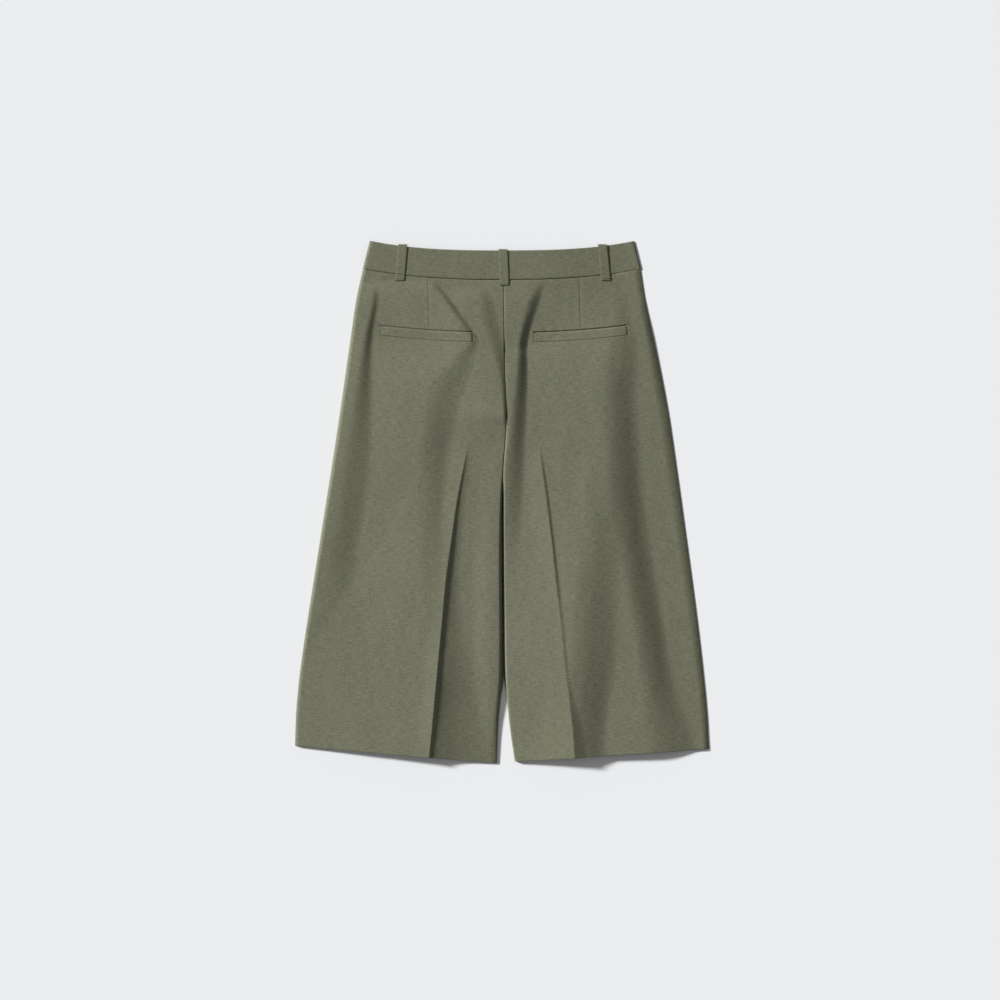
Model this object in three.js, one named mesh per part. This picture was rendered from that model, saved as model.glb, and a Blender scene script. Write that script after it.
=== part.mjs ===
// Culottes laid flat on their front, seen from the back. Millimetres.
// +Z is up, +Y points to the waist, +X to the wearer's right, and z = 0 is the surface they lie on.
import * as THREE from 'three';
import { mergeVertices } from 'three/addons/utils/BufferGeometryUtils.js';

// ---------------------------------------------------------------- driving dimensions

const CLOTH = 1.2;              // one thickness of suiting with its seam allowances
const GAP = 0.3;                // between pieces at a seam, and between layers that touch
const FRONT_TOP = CLOTH;        // the front legs lie flat on the surface
const BACK_EDGE = FRONT_TOP + GAP;  // where the back legs' rolled edges meet the front
const INNER_ROLL = 5;           // how far in from a leg's inner edge the cloth rolls over

const WAIST_HALF_TOP = 169;     // half the flat waist along the band's upper edge
const WAIST_HALF_SEAM = 178;    // half the flat waist along the waist seam
const BAND_TOP_SIDE = 334;      // upper edge of the waistband at the side seams
const BAND_TOP_CENTRE = 321.7;  // and at the centre back
const SEAM_SIDE = 298;          // waist seam at the side seams
const SEAM_CENTRE = 284.2;      // and at the centre back
const FRONT_DIP = 12;           // the front waist dips this much lower at its centre
const FRONT_DIP_REACH = 165;    // and meets the back waist this far out
const BAND_THICKNESS = 2.4;     // interfaced, two layers
const FRONT_BAND_BASE = 1.8;    // the front waistband lies on its two belt loops
const BACK_BAND_BASE = FRONT_BAND_BASE + BAND_THICKNESS + GAP;
const BACK_BAND_TOP = BACK_BAND_BASE + BAND_THICKNESS;

const LOOP_WIDTH = 12;
const LOOP_THICKNESS = 1.2;
const LOOP_LIFT = 1;            // slack for the belt at the middle of a loop
const LOOP_TAIL = 8;            // how far a loop reaches below the waist seam
const FRONT_LOOP_X = 92;

const WELT_LIFT = 1.2;          // thickness of a pocket welt
const WELT_TOP = 0.110;         // share of the leg's length from the waist seam to a welt
const WELT_BOTTOM = 0.1305;

const CLOTH_COLOUR = '#70715e';

// ---------------------------------------------------------------- outline of the legs

// Rows run down a leg: share is the part of its length below the waist seam, and the
// other columns are the x of the outseam, the pressed crease and the seat seam or inseam,
// and how far in from the outseam the cloth rolls over.
const LEFT_SECTIONS = [
  { share: 0.000, outseam: -178.0, crease: -50, inner: 1.8, roll: 5 },
  { share: 0.065, outseam: -186.6, crease: -49, inner: 2.2, roll: 5 },
  { share: 0.160, outseam: -195.0, crease: -48, inner: 3.0, roll: 5 },
  { share: 0.297, outseam: -207.0, crease: -47, inner: 5.3, roll: 5 },
  { share: 0.400, outseam: -216.5, crease: -49, inner: 0.9, roll: 5 },
  { share: 0.550, outseam: -231.0, crease: -59, inner: 0.3, roll: 5 },
  { share: 0.820, outseam: -256.5, crease: -81, inner: 0.3, roll: 5 },
  { share: 0.920, outseam: -263.0, crease: -88, inner: -4.6, roll: 5 },
  { share: 1.000, outseam: -265.0, crease: -94, inner: -6.6, roll: 5 },
];
const RIGHT_SECTIONS = [
  { share: 0.000, outseam: 177.6, crease: 52, inner: 2.1, roll: 8 },
  { share: 0.065, outseam: 183.7, crease: 51, inner: 2.5, roll: 8.5 },
  { share: 0.160, outseam: 196.5, crease: 50, inner: 3.3, roll: 10 },
  { share: 0.297, outseam: 212.8, crease: 49, inner: 5.6, roll: 12.5 },
  { share: 0.400, outseam: 222.2, crease: 52, inner: 1.7, roll: 13 },
  { share: 0.550, outseam: 235.0, crease: 62, inner: 1.6, roll: 12 },
  { share: 0.700, outseam: 247.5, crease: 73, inner: 2.6, roll: 10.7 },
  { share: 0.820, outseam: 256.3, crease: 82, inner: 4.3, roll: 9.5 },
  { share: 0.920, outseam: 262.3, crease: 89, inner: 9.4, roll: 8 },
  { share: 1.000, outseam: 265.0, crease: 93, inner: 16.4, roll: 7 },
];
const HEM = {
  left: { outerY: -312, innerY: -334 },
  right: { outerY: -316, innerY: -332 },
};
const CROTCH_SHARE = 0.405;     // where the legs part
const CROTCH_BLEND = 0.05;      // the share over which the inner edge turns into a roll
const LOWEST_SHELL = BACK_EDGE + CLOTH + GAP;

// ---------------------------------------------------------------- relief of the back

// Height of the back's cloth above the surface, before folds, down each leg.
const LEFT_PLATEAU = [
  { share: 0.00, height: 6.2 },
  { share: 0.04, height: 5.4 },
  { share: 0.12, height: 4.6 },
  { share: 0.40, height: 5.0 },
  { share: 0.60, height: 5.8 },
  { share: 0.80, height: 5.4 },
  { share: 0.90, height: 4.2 },
  { share: 1.00, height: 3.6 },
];
const RIGHT_PLATEAU = [
  { share: 0.00, height: 6.2 },
  { share: 0.04, height: 5.4 },
  { share: 0.12, height: 4.5 },
  { share: 0.40, height: 4.0 },
  { share: 0.60, height: 3.4 },
  { share: 1.00, height: 3.3 },
];

/** Rows of a fold's crest from [y, x, rise, left reach, right reach]. */
function crestRows(rows) {
  return rows.map(([y, x, rise, left, right]) => ({ share: -y, x, rise, left, right }));
}

// Each fold follows its crest down the leg. leftPower and rightPower shape its two flanks:
// 0 is a soft bell, 1 a straight slope, and more than 1 a slope that is steepest at the crest.
const LEFT_FOLDS = [
  { name: 'seam rise', leftPower: 0, rightPower: 0, crest: crestRows([
    [284, 3, 0, 220, 60], [271, 3, 1.5, 220, 60], [258, 3, 2.9, 220, 60], [207, 3, 4.9, 220, 60],
    [182, 3, 6, 220, 60], [156, 3, 7.2, 220, 60], [105, 3, 7.6, 220, 60], [54, 3, 7.4, 220, 60],
    [3, 3, 6.4, 210, 60], [-49, 3, 4.6, 200, 60], [-100, 3, 3.4, 180, 60], [-151, 3, 2.6, 160, 60],
    [-202, 3, 1.6, 150, 60], [-250, 3, 0, 150, 60],
  ]) },
  { name: 'side roll', leftPower: 0, rightPower: 0, crest: crestRows([
    [278, -166, 0, 60, 7], [258, -166, 2, 60, 8], [207, -177, 3.8, 60, 12], [156, -187, 5.2, 60, 23],
    [105, -195, 4.8, 60, 31], [54, -204, 4.6, 60, 38], [3, -212, 4.2, 60, 41], [-49, -220, 3.2, 60, 40],
    [-100, -229, 1.6, 60, 38], [-151, -243, 0.7, 60, 36], [-215, -256, 0, 60, 36],
  ]) },
  { name: 'seat drag', leftPower: 0, rightPower: 0, crest: crestRows([
    [284, -95, 0, 60, 7], [273, -85, 2.2, 180, 8], [258, -74, 3.1, 200, 9], [240, -62, 3, 200, 10],
    [222, -49, 2.8, 200, 11], [207, -42, 2.2, 200, 13], [190, -57, 2.6, 200, 24],
    [170, -78, 4.2, 200, 42], [150, -93, 5.4, 190, 50], [105, -101, 5.9, 200, 46],
    [54, -108, 5.3, 190, 44], [3, -112, 4, 150, 43], [-49, -111, 3, 90, 42], [-100, -108, 2.2, 90, 38],
    [-151, -105, 1.2, 90, 34], [-200, -105, 0, 90, 30],
  ]) },
  { name: 'seam flank', leftPower: 0, rightPower: 0, crest: crestRows([
    [276, -31, 0, 40, 14], [258, -29, 2.2, 70, 18], [207, -21, 3.4, 80, 24], [182, -10, 3.6, 90, 18],
    [156, -3, 3.6, 90, 12], [130, 0, 4, 90, 10], [110, 1.5, 4.6, 90, 9], [96, 2, 2.4, 80, 9],
    [75, 2, 0, 80, 10],
  ]) },
  { name: 'crease', leftPower: 1.1, rightPower: 1.9, crest: crestRows([
    [78, -44, 0, 40, 8], [52, -48, 1.2, 50, 11], [3, -57.5, 2.2, 70, 13], [-49, -65, 3.2, 90, 15],
    [-100, -72, 4.2, 120, 20], [-151, -77, 5.4, 150, 30], [-202, -82, 7, 170, 46],
    [-253, -87, 8.9, 180, 60], [-305, -92, 9.8, 180, 76], [-334.5, -96, 9.6, 180, 80],
  ]) },
  { name: 'crease edge', leftPower: 1.6, rightPower: 1.3, crest: crestRows([
    [70, -45.5, 0, 18, 4], [52, -48, 0.5, 18, 4], [3, -57.5, 0.8, 18, 4], [-49, -65, 0.8, 18, 4],
    [-100, -72, 1, 18, 4], [-151, -77, 1.3, 18, 4.5], [-202, -82, 1.5, 18, 5], [-253, -87, 1.5, 18, 5],
    [-305, -92, 1.2, 18, 5], [-334.5, -96, 1, 18, 5],
  ]) },
  { name: 'inner roll', leftPower: 0, rightPower: 0, crest: crestRows([
    [60, -3, 0, 24, 40], [3, -4, 1.2, 30, 40], [-49, -5, 2.2, 34, 40], [-151, -6, 2.8, 36, 40],
    [-228, -7, 2, 30, 40], [-290, -8, 0.5, 24, 40], [-334.5, -9, 0, 24, 40],
  ]) },
];
const RIGHT_FOLDS = [
  { name: 'seam ridge', leftPower: 0, rightPower: 0, crest: crestRows([
    [284, 47, 0, 200, 9], [271, 40, 1.6, 200, 13], [258, 33, 3.4, 200, 17], [233, 26, 4.2, 200, 15],
    [207, 20.5, 4.6, 200, 13], [182, 18.5, 5.4, 200, 15], [156, 16, 5.8, 200, 18],
    [105, 10, 5.8, 200, 23], [54, 4.5, 5, 200, 26], [3, 1.5, 3.8, 200, 26], [-49, 1, 1.8, 200, 24],
    [-100, 2, 0.3, 200, 20], [-120, 2, 0, 200, 20],
  ]) },
  { name: 'hip roll', leftPower: 1.0, rightPower: 0, crest: crestRows([
    [284, 139, 0.8, 60, 16], [258, 141, 1.5, 60, 22], [230, 144, 2, 70, 24], [207, 140, 3, 80, 34],
    [182, 132, 4.8, 180, 44], [156, 128, 6.8, 250, 46], [105, 129, 8.2, 280, 47], [54, 132, 9, 280, 47],
    [3, 137, 9.2, 270, 47], [-49, 146, 8.6, 240, 45], [-100, 156, 8.4, 240, 43],
    [-151, 166, 8.4, 240, 43], [-202, 174, 8.2, 240, 43], [-253, 180, 7.8, 230, 50],
    [-305, 184, 7.4, 210, 66], [-334.5, 188, 7, 200, 68],
  ]) },
  { name: 'crease fall', leftPower: 1.0, rightPower: 0, crest: crestRows([
    [54, 102, 0, 120, 40], [3, 106, 2.2, 120, 44], [-49, 102, 4.8, 170, 52], [-100, 94, 7, 170, 60],
    [-151, 90, 8.6, 170, 62], [-202, 87, 9.2, 170, 62], [-253, 86, 8.8, 150, 54],
    [-305, 90, 7.2, 80, 44], [-334.5, 93, 7.2, 80, 44],
  ]) },
  { name: 'crease', leftPower: 1.4, rightPower: 1.4, crest: crestRows([
    [68, 47, 0, 24, 4], [54, 49.5, 0.9, 24, 4], [3, 56.5, 1.5, 24, 4.5], [-49, 63, 1.6, 24, 4.5],
    [-100, 68.5, 1.6, 24, 5], [-151, 74.5, 1, 24, 5], [-202, 79.5, 0.9, 24, 5], [-240, 84, 1.2, 30, 6],
    [-275, 88, 2.2, 50, 11], [-305, 91, 2.8, 60, 15], [-334.5, 93.5, 2.8, 60, 15],
  ]) },
];

const LEGS = {
  left: {
    sections: LEFT_SECTIONS, hem: HEM.left, plateau: LEFT_PLATEAU, folds: LEFT_FOLDS,
    weltColumn: 0.22, flatness: 0,
  },
  right: {
    sections: RIGHT_SECTIONS, hem: HEM.right, plateau: RIGHT_PLATEAU, folds: RIGHT_FOLDS,
    weltColumn: 0.17, flatness: 0.75,
  },
};

// ---------------------------------------------------------------- small helpers

const lerp = (a, b, k) => a + (b - a) * k;
const clamp01 = (k) => Math.min(1, Math.max(0, k));
const smooth = (k) => clamp01(k) ** 2 * (3 - 2 * clamp01(k));

/** A smooth curve through a table's rows: the value of one column at a share. */
function column(table, name, share) {
  const last = table.length - 2;
  let i = table.findIndex((row, n) => n <= last && share <= table[n + 1].share);
  i = i < 0 ? last : i;
  const slope = (n) => {
    const a = table[Math.max(0, n - 1)];
    const b = table[Math.min(table.length - 1, n + 1)];
    return (b[name] - a[name]) / (b.share - a.share);
  };
  const a = table[i];
  const b = table[i + 1];
  const run = b.share - a.share;
  const k = (share - a.share) / run;
  return (2 * k ** 3 - 3 * k ** 2 + 1) * a[name] + (k ** 3 - 2 * k ** 2 + k) * run * slope(i)
    + (3 * k ** 2 - 2 * k ** 3) * b[name] + (k ** 3 - k ** 2) * run * slope(i + 1);
}

/** The waist seam and the waistband's upper edge sag between the side seams. */
const seamY = (x) => SEAM_CENTRE + (SEAM_SIDE - SEAM_CENTRE) * (Math.abs(x) / WAIST_HALF_SEAM) ** 2.4;
const bandTopY = (x) => (
  BAND_TOP_CENTRE + (BAND_TOP_SIDE - BAND_TOP_CENTRE) * (Math.abs(x) / WAIST_HALF_TOP) ** 2.8
);
const frontDip = (x) => FRONT_DIP * clamp01(1 - (x / FRONT_DIP_REACH) ** 2) ** 2;

/** A fold's flank: 1 at its crest and 0 at its foot. */
function flank(reach, power) {
  const r = clamp01(reach);
  return power === 0 ? (1 - r ** 2) ** 2 : (1 - r) ** power;
}

/** The height that one fold adds at a point. */
function foldRise(fold, x, y) {
  if (-y < fold.crest[0].share || -y > fold.crest.at(-1).share) {
    return 0;
  }
  const read = (name) => column(fold.crest, name, -y);
  const away = x - read('x');
  const left = flank(-away / read('left'), fold.leftPower);
  const right = flank(away / read('right'), fold.rightPower);
  return read('rise') * left * right;
}

/** Height of a back leg's outer face at a point that lies at that share down the leg. */
function reliefHeight(leg, share, x, y) {
  const folds = leg.folds.reduce((sum, fold) => sum + foldRise(fold, x, y), 0);
  return Math.max(LOWEST_SHELL, column(leg.plateau, 'height', share) + folds);
}

// ---------------------------------------------------------------- closed shells

/** A closed mesh from an outer and an inner sheet, grids of points of the same size. */
function shell(outer, inner) {
  const rows = outer.length;
  const columns = outer[0].length;
  const points = [...outer.flat(), ...inner.flat()];
  const at = (layer, i, j) => layer * rows * columns + i * columns + j;
  const index = [];
  const quad = (a, b, c, d) => index.push(a, b, c, a, c, d);
  for (let i = 0; i < rows - 1; i += 1) {
    for (let j = 0; j < columns - 1; j += 1) {
      quad(at(0, i, j), at(0, i + 1, j), at(0, i + 1, j + 1), at(0, i, j + 1));
      quad(at(1, i, j), at(1, i, j + 1), at(1, i + 1, j + 1), at(1, i + 1, j));
    }
    quad(at(0, i, 0), at(1, i, 0), at(1, i + 1, 0), at(0, i + 1, 0));
    quad(at(0, i, columns - 1), at(0, i + 1, columns - 1), at(1, i + 1, columns - 1), at(1, i, columns - 1));
  }
  for (let j = 0; j < columns - 1; j += 1) {
    quad(at(0, 0, j), at(0, 0, j + 1), at(1, 0, j + 1), at(1, 0, j));
    quad(at(0, rows - 1, j), at(1, rows - 1, j), at(1, rows - 1, j + 1), at(0, rows - 1, j + 1));
  }
  return closedGeometry(points, index);
}

/** An indexed geometry whose faces point outwards, whichever way round its points ran. */
function closedGeometry(points, index) {
  let volume = 0;
  for (let k = 0; k < index.length; k += 3) {
    const [a, b, c] = [points[index[k]], points[index[k + 1]], points[index[k + 2]]];
    volume += a.dot(b.clone().cross(c));
  }
  const outward = volume > 0 ? index : index.map((_, k) => index[k - (k % 3) + 2 - (k % 3)]);
  const geometry = new THREE.BufferGeometry().setFromPoints(points);
  geometry.setIndex(outward);
  geometry.computeVertexNormals();
  return geometry;
}

/** A flat piece of cloth with this outline, lying between two heights. */
function slab(outline, low, high) {
  const geometry = new THREE.ExtrudeGeometry(new THREE.Shape(outline), {
    depth: high - low, bevelEnabled: false,
  });
  geometry.translate(0, 0, low);
  return geometry;
}

// ---------------------------------------------------------------- the two back legs

const LEG_ROWS = [
  0, 0.03, 0.07, WELT_TOP, WELT_BOTTOM, 0.17, 0.22, 0.27, 0.32, 0.365, CROTCH_SHARE,
  CROTCH_SHARE + CROTCH_BLEND, 0.52, 0.58, 0.64, 0.70, 0.76, 0.82, 0.88, 0.94, 1,
];
const ROLL_ANGLES = [0, 30, 60, 90];
const WELT_INNER_COLUMN = 0.22;
// Grid lines from the outseam's roll to the crease, and from the crease to the inner roll.
const outerColumns = (leg) => [0.08, leg.weltColumn, 0.32, 0.44, 0.56, 0.68, 0.79, 0.88, 0.95, 1];
const INNER_COLUMNS = [0.045, 0.11, WELT_INNER_COLUMN, 0.36, 0.52, 0.70, 0.86];

/** Where a leg's grid line crosses a row: across runs from 0 at the outseam to 1 inside. */
function legPoint(leg, share, x) {
  const top = leg.sections[0];
  const bottom = leg.sections.at(-1);
  const outer = column(leg.sections, 'outseam', share);
  const inner = column(leg.sections, 'inner', share);
  const across = (x - outer) / (inner - outer);
  const topY = seamY(lerp(top.outseam, top.inner, across)) - GAP / 2;
  const hemY = lerp(leg.hem.outerY, leg.hem.innerY, across);
  return new THREE.Vector2(x, lerp(topY, hemY, share));
}

/** The x of each grid line between the rolled edges, with the crease on one of them. */
function flatColumns(leg, share) {
  const side = Math.sign(leg.sections[0].outseam);
  const outer = column(leg.sections, 'outseam', share) - side * column(leg.sections, 'roll', share);
  const inner = column(leg.sections, 'inner', share) + side * INNER_ROLL;
  const crease = column(leg.sections, 'crease', share);
  return [
    ...outerColumns(leg).map((step) => lerp(outer, crease, step)),
    ...INNER_COLUMNS.map((step) => lerp(crease, inner, step)),
  ];
}

/** Height of the lower of the two back legs where they meet, at the centre seam or inseam. */
function seamLevel(share) {
  return Math.min(...Object.values(LEGS).map((leg) => {
    const x = column(leg.sections, 'inner', share);
    return reliefHeight(leg, share, x, legPoint(leg, share, x).y);
  }));
}

/** One row of a back leg: its outer and inner points from the outseam to the inner edge. */
function legRow(leg, share) {
  const side = Math.sign(leg.sections[0].outseam);
  const outer = [];
  const inner = [];
  const add = (x, y, z, inX, inY, inZ) => {
    outer.push(new THREE.Vector3(x, y, z));
    inner.push(new THREE.Vector3(inX, inY, inZ));
  };
  const parted = smooth((share - CROTCH_SHARE) / CROTCH_BLEND);
  // The cloth turns down from its own height to this one at an edge, over the roll's width.
  const rolledEdge = (edge, inward, roll, low, turned, flatness, angles) => {
    for (const degrees of angles) {
      const angle = THREE.MathUtils.degToRad(degrees);
      const x = edge + inward * roll * (1 - Math.cos(angle));
      const { y } = legPoint(leg, share, x);
      const height = reliefHeight(leg, share, x, y);
      const fall = flatness * Math.cos(angle) ** 1.6 + (1 - flatness) * (1 - Math.sin(angle));
      const z = height - Math.max(0, height - low) * fall;
      const wall = CLOTH * ((1 - turned) + turned * Math.sin(angle));
      add(x, y, z, x + inward * turned * CLOTH * Math.cos(angle), y, z - wall);
    }
  };
  const outseam = column(leg.sections, 'outseam', share);
  const roll = column(leg.sections, 'roll', share);
  rolledEdge(outseam, -side, roll, BACK_EDGE, 1, leg.flatness, ROLL_ANGLES);
  for (const x of flatColumns(leg, share)) {
    const { y } = legPoint(leg, share, x);
    const normal = reliefNormal(leg, share, x, y);
    const point = new THREE.Vector3(x, y, reliefHeight(leg, share, x, y));
    const endRow = share === 0 || share === 1;
    const within = point.clone().addScaledVector(normal, -CLOTH);
    outer.push(point);
    inner.push(endRow ? within.setY(y) : within);
  }
  const innerEdge = column(leg.sections, 'inner', share);
  const level = lerp(seamLevel(share), BACK_EDGE, parted);
  rolledEdge(innerEdge, side, INNER_ROLL, level, parted, 0, [...ROLL_ANGLES].reverse());
  return { outer, inner };
}

/** The outward normal of the relief at a point. */
function reliefNormal(leg, share, x, y) {
  const step = 1.5;
  const at = (dx, dy) => reliefHeight(leg, share, x + dx, y + dy);
  const slopeX = (at(step, 0) - at(-step, 0)) / (2 * step);
  const slopeY = (at(0, step) - at(0, -step)) / (2 * step);
  return new THREE.Vector3(-slopeX, -slopeY, 1).normalize();
}

function backLeg(leg) {
  const rows = LEG_ROWS.map((share) => legRow(leg, share));
  return { outer: rows.map((row) => row.outer), inner: rows.map((row) => row.inner) };
}

/** A pocket welt: the leg's own points between two rows and two lines, moved out. */
function pocketWelt(leg, grid) {
  const rows = [LEG_ROWS.indexOf(WELT_TOP), LEG_ROWS.indexOf(WELT_BOTTOM)];
  const outward = outerColumns(leg);
  const first = ROLL_ANGLES.length + outward.indexOf(leg.weltColumn);
  const last = ROLL_ANGLES.length + outward.length + INNER_COLUMNS.indexOf(WELT_INNER_COLUMN);
  const lifted = (lift) => rows.map((row) => (
    grid.outer[row].slice(first, last + 1).map((p) => p.clone().setZ(p.z + lift))
  ));
  return shell(lifted(GAP + WELT_LIFT), lifted(GAP));
}

// ---------------------------------------------------------------- the two front legs

/** A front leg lies flat on its face, with the same outline below a lower waist seam. */
function frontLeg(leg) {
  const outer = LEG_ROWS.map((share) => {
    const x = column(leg.sections, 'outseam', share);
    return legPoint(leg, share, x);
  });
  const inner = LEG_ROWS.map((share) => {
    const x = column(leg.sections, 'inner', share);
    return legPoint(leg, share, x);
  });
  inner[0].y = seamY(0) - frontDip(0) - GAP / 2;
  const waist = [0.2, 0.4, 0.6, 0.8].map((step) => {
    const x = lerp(leg.sections[0].inner, leg.sections[0].outseam, step);
    return new THREE.Vector2(x, seamY(x) - frontDip(x) - GAP / 2);
  });
  return slab([...waist, ...outer, ...inner.reverse()], 0, FRONT_TOP);
}

// ---------------------------------------------------------------- waistbands

const BAND_STATIONS = 17;

/** A stretch of waistband between two shares of its half widths (-1 left, 1 right). */
function waistband(from, to, base, dip) {
  const low = [];
  const high = [];
  for (let i = 0; i < BAND_STATIONS; i += 1) {
    const along = lerp(from, to, i / (BAND_STATIONS - 1));
    const seamX = along * WAIST_HALF_SEAM;
    const topX = along * WAIST_HALF_TOP;
    const foot = new THREE.Vector2(seamX, seamY(seamX) - dip(seamX) + GAP / 2);
    const head = new THREE.Vector2(topX, bandTopY(topX) - dip(topX));
    const row = (z, inset) => [inset, 1 - inset].map((k) => (
      new THREE.Vector3(lerp(foot.x, head.x, k), lerp(foot.y, head.y, k), z)
    ));
    low.push(row(base, 0));
    high.push(row(base + BAND_THICKNESS, 0.015));
  }
  return shell(high, low);
}

// ---------------------------------------------------------------- belt loops

/** A strip that follows a path in the YZ plane, LOOP_WIDTH wide, leaning with its centre. */
function strip(path, centreX) {
  const half = LOOP_THICKNESS / 2;
  const edge = (side) => path.map((point, i) => {
    const before = path[Math.max(0, i - 1)];
    const after = path[Math.min(path.length - 1, i + 1)];
    const along = after.clone().sub(before).normalize();
    const across = new THREE.Vector2(-along.y, along.x);
    return point.clone().addScaledVector(across, side * half);
  });
  const sheet = (side) => edge(side).map((point) => {
    const x = centreX(point.x);
    return [-LOOP_WIDTH / 2, LOOP_WIDTH / 2].map((w) => new THREE.Vector3(x + w, point.x, point.y));
  });
  return shell(sheet(1), sheet(-1));
}

/** A back belt loop, from its tail on the leg, over the waistband's upper edge. */
function backLoop(topX, footX) {
  const half = LOOP_THICKNESS / 2;
  const near = [-1, 0, 1].map((k) => (k * LOOP_WIDTH) / 2);
  const top = Math.max(...near.map((w) => bandTopY(topX + w)));
  const seam = seamY(footX);
  const tail = seam - LOOP_TAIL;
  const highest = (lines) => Math.max(...near.flatMap((w) => lines.flatMap((y) => (
    Object.values(LEGS).flatMap((leg) => [0, 0.02].map((share) => reliefHeight(leg, share, footX + w, y)))
  ))));
  const level = BACK_BAND_TOP + GAP + half;
  const onLeg = Math.max(highest([tail - 2, tail, tail + LOOP_TAIL / 2]) + GAP + half, level - 0.6);
  const onBand = Math.max(level, highest([tail + LOOP_TAIL / 2, seam - 1, seam]) + GAP + half);
  const over = top + GAP + half;
  const path = [
    [tail, onLeg], [seam - 1, onBand], [lerp(seam, top, 0.3), onBand + LOOP_LIFT],
    [lerp(seam, top, 0.7), onBand + LOOP_LIFT], [top - 1.5, onBand + GAP],
    [over + GAP, onBand - 0.2], [over + GAP, BACK_BAND_BASE + 0.4],
  ].map(([y, z]) => new THREE.Vector2(y, z));
  return strip(path, (y) => lerp(footX, topX, (y - seam) / (top - seam)));
}

/** A front belt loop lies flat between the surface and the front waistband. */
function frontLoop(x) {
  const half = LOOP_THICKNESS / 2;
  const near = [-1, 0, 1].map((k) => x + (k * LOOP_WIDTH) / 2);
  const top = Math.max(...near.map((w) => bandTopY(w) - frontDip(w)));
  const seam = Math.max(...near.map((w) => seamY(w) - frontDip(w)));
  const over = top + GAP + half;
  const path = [
    [over + GAP, FRONT_BAND_BASE + 1.6], [over + GAP, half + 0.7], [top - 1.5, half],
    [lerp(seam, top, 0.5), half], [seam + GAP, half],
  ].map(([y, z]) => new THREE.Vector2(y, z));
  return strip(path, () => x);
}

// ---------------------------------------------------------------- assembly

const culottes = new THREE.Group();

function addPiece(name, geometry) {
  geometry.deleteAttribute('normal');
  geometry.deleteAttribute('uv');
  const welded = mergeVertices(geometry, 1e-4);
  welded.computeVertexNormals();
  const material = new THREE.MeshStandardMaterial({ color: CLOTH_COLOUR, roughness: 0.9, metalness: 0 });
  const mesh = new THREE.Mesh(welded, material);
  mesh.name = name;
  culottes.add(mesh);
}

for (const [side, leg] of Object.entries(LEGS)) {
  const grid = backLeg(leg);
  addPiece(`back_panel_${side}`, shell(grid.outer, grid.inner));
  addPiece(`pocket_welt_${side}`, pocketWelt(leg, grid));
  addPiece(`front_panel_${side}`, frontLeg(leg));
}

const OPENING = 0.0009;         // half the front opening, as a share of the half width
addPiece('waistband_back', waistband(-1, 1, BACK_BAND_BASE, () => 0));
addPiece('waistband_front_left', waistband(-1, -OPENING, FRONT_BAND_BASE, frontDip));
addPiece('waistband_front_right', waistband(OPENING, 1, FRONT_BAND_BASE, frontDip));

addPiece('belt_loop_back_left', backLoop(-126.7, -130.6));
addPiece('belt_loop_back_center', backLoop(1.3, 3.0));
addPiece('belt_loop_back_right', backLoop(128.4, 133.0));
addPiece('belt_loop_front_left', frontLoop(-FRONT_LOOP_X));
addPiece('belt_loop_front_right', frontLoop(FRONT_LOOP_X));

export default culottes;
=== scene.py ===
"""Culottes laid flat on their front, seen from the back.

The garment is built panel by panel, as it is cut and sewn: two back legs with their
pressed creases, darts and welt pockets, two plain front legs underneath, a waistband
in three pieces and its belt loops. Lengths in the tables are millimetres in the
garment's own frame: +Z up from the surface, +Y to the waist, +X to the wearer's right.
"""

import logging
import math
from collections.abc import Callable
from dataclasses import dataclass, field
from enum import Enum

import bmesh
import bpy
import numpy as np
from mathutils import Matrix, Vector, noise

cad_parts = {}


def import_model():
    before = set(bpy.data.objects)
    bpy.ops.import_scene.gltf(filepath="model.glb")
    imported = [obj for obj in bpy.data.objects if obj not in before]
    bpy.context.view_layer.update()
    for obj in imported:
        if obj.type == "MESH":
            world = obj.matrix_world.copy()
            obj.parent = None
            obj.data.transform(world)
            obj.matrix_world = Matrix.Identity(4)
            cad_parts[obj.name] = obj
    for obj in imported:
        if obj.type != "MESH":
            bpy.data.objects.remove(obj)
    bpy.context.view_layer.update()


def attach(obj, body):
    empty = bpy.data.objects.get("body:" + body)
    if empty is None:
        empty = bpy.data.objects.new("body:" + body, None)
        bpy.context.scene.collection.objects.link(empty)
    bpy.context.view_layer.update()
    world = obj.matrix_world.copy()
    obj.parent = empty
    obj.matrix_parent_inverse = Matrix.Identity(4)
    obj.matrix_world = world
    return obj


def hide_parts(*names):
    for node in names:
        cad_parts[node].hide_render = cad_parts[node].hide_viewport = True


log = logging.getLogger("culottes")

MM = 0.001
BODY = "root"

Point = tuple[float, float]
Surface = Callable[[float, float], float]


class Side(Enum):
    """The wearer's side that a piece belongs to, with the sign of its x."""

    LEFT = -1
    RIGHT = 1

    @property
    def word(self) -> str:
        """The side's name as it stands in piece names."""
        return self.name.lower()


# ------------------------------------------------------------------ measurements


@dataclass(frozen=True)
class Build:
    """Thicknesses and heights that the pieces share, in millimetres."""

    cloth: float = 0.55
    front: float = 1.2
    gap: float = 0.3
    edge_low: float = 0.6
    crotch: float = 0.405
    crotch_blend: float = 0.05
    hem_radius: float = 0.65
    hem_turn: float = 32.0
    clear: float = 0.05
    leg_length: float = 612.0

    @property
    def back_edge(self) -> float:
        """Height at which the back legs' rolled edges meet the front."""
        return self.front + self.gap

    @property
    def lowest_back(self) -> float:
        """The back's outer face is never lower than this."""
        return self.back_edge + 1.1


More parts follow.
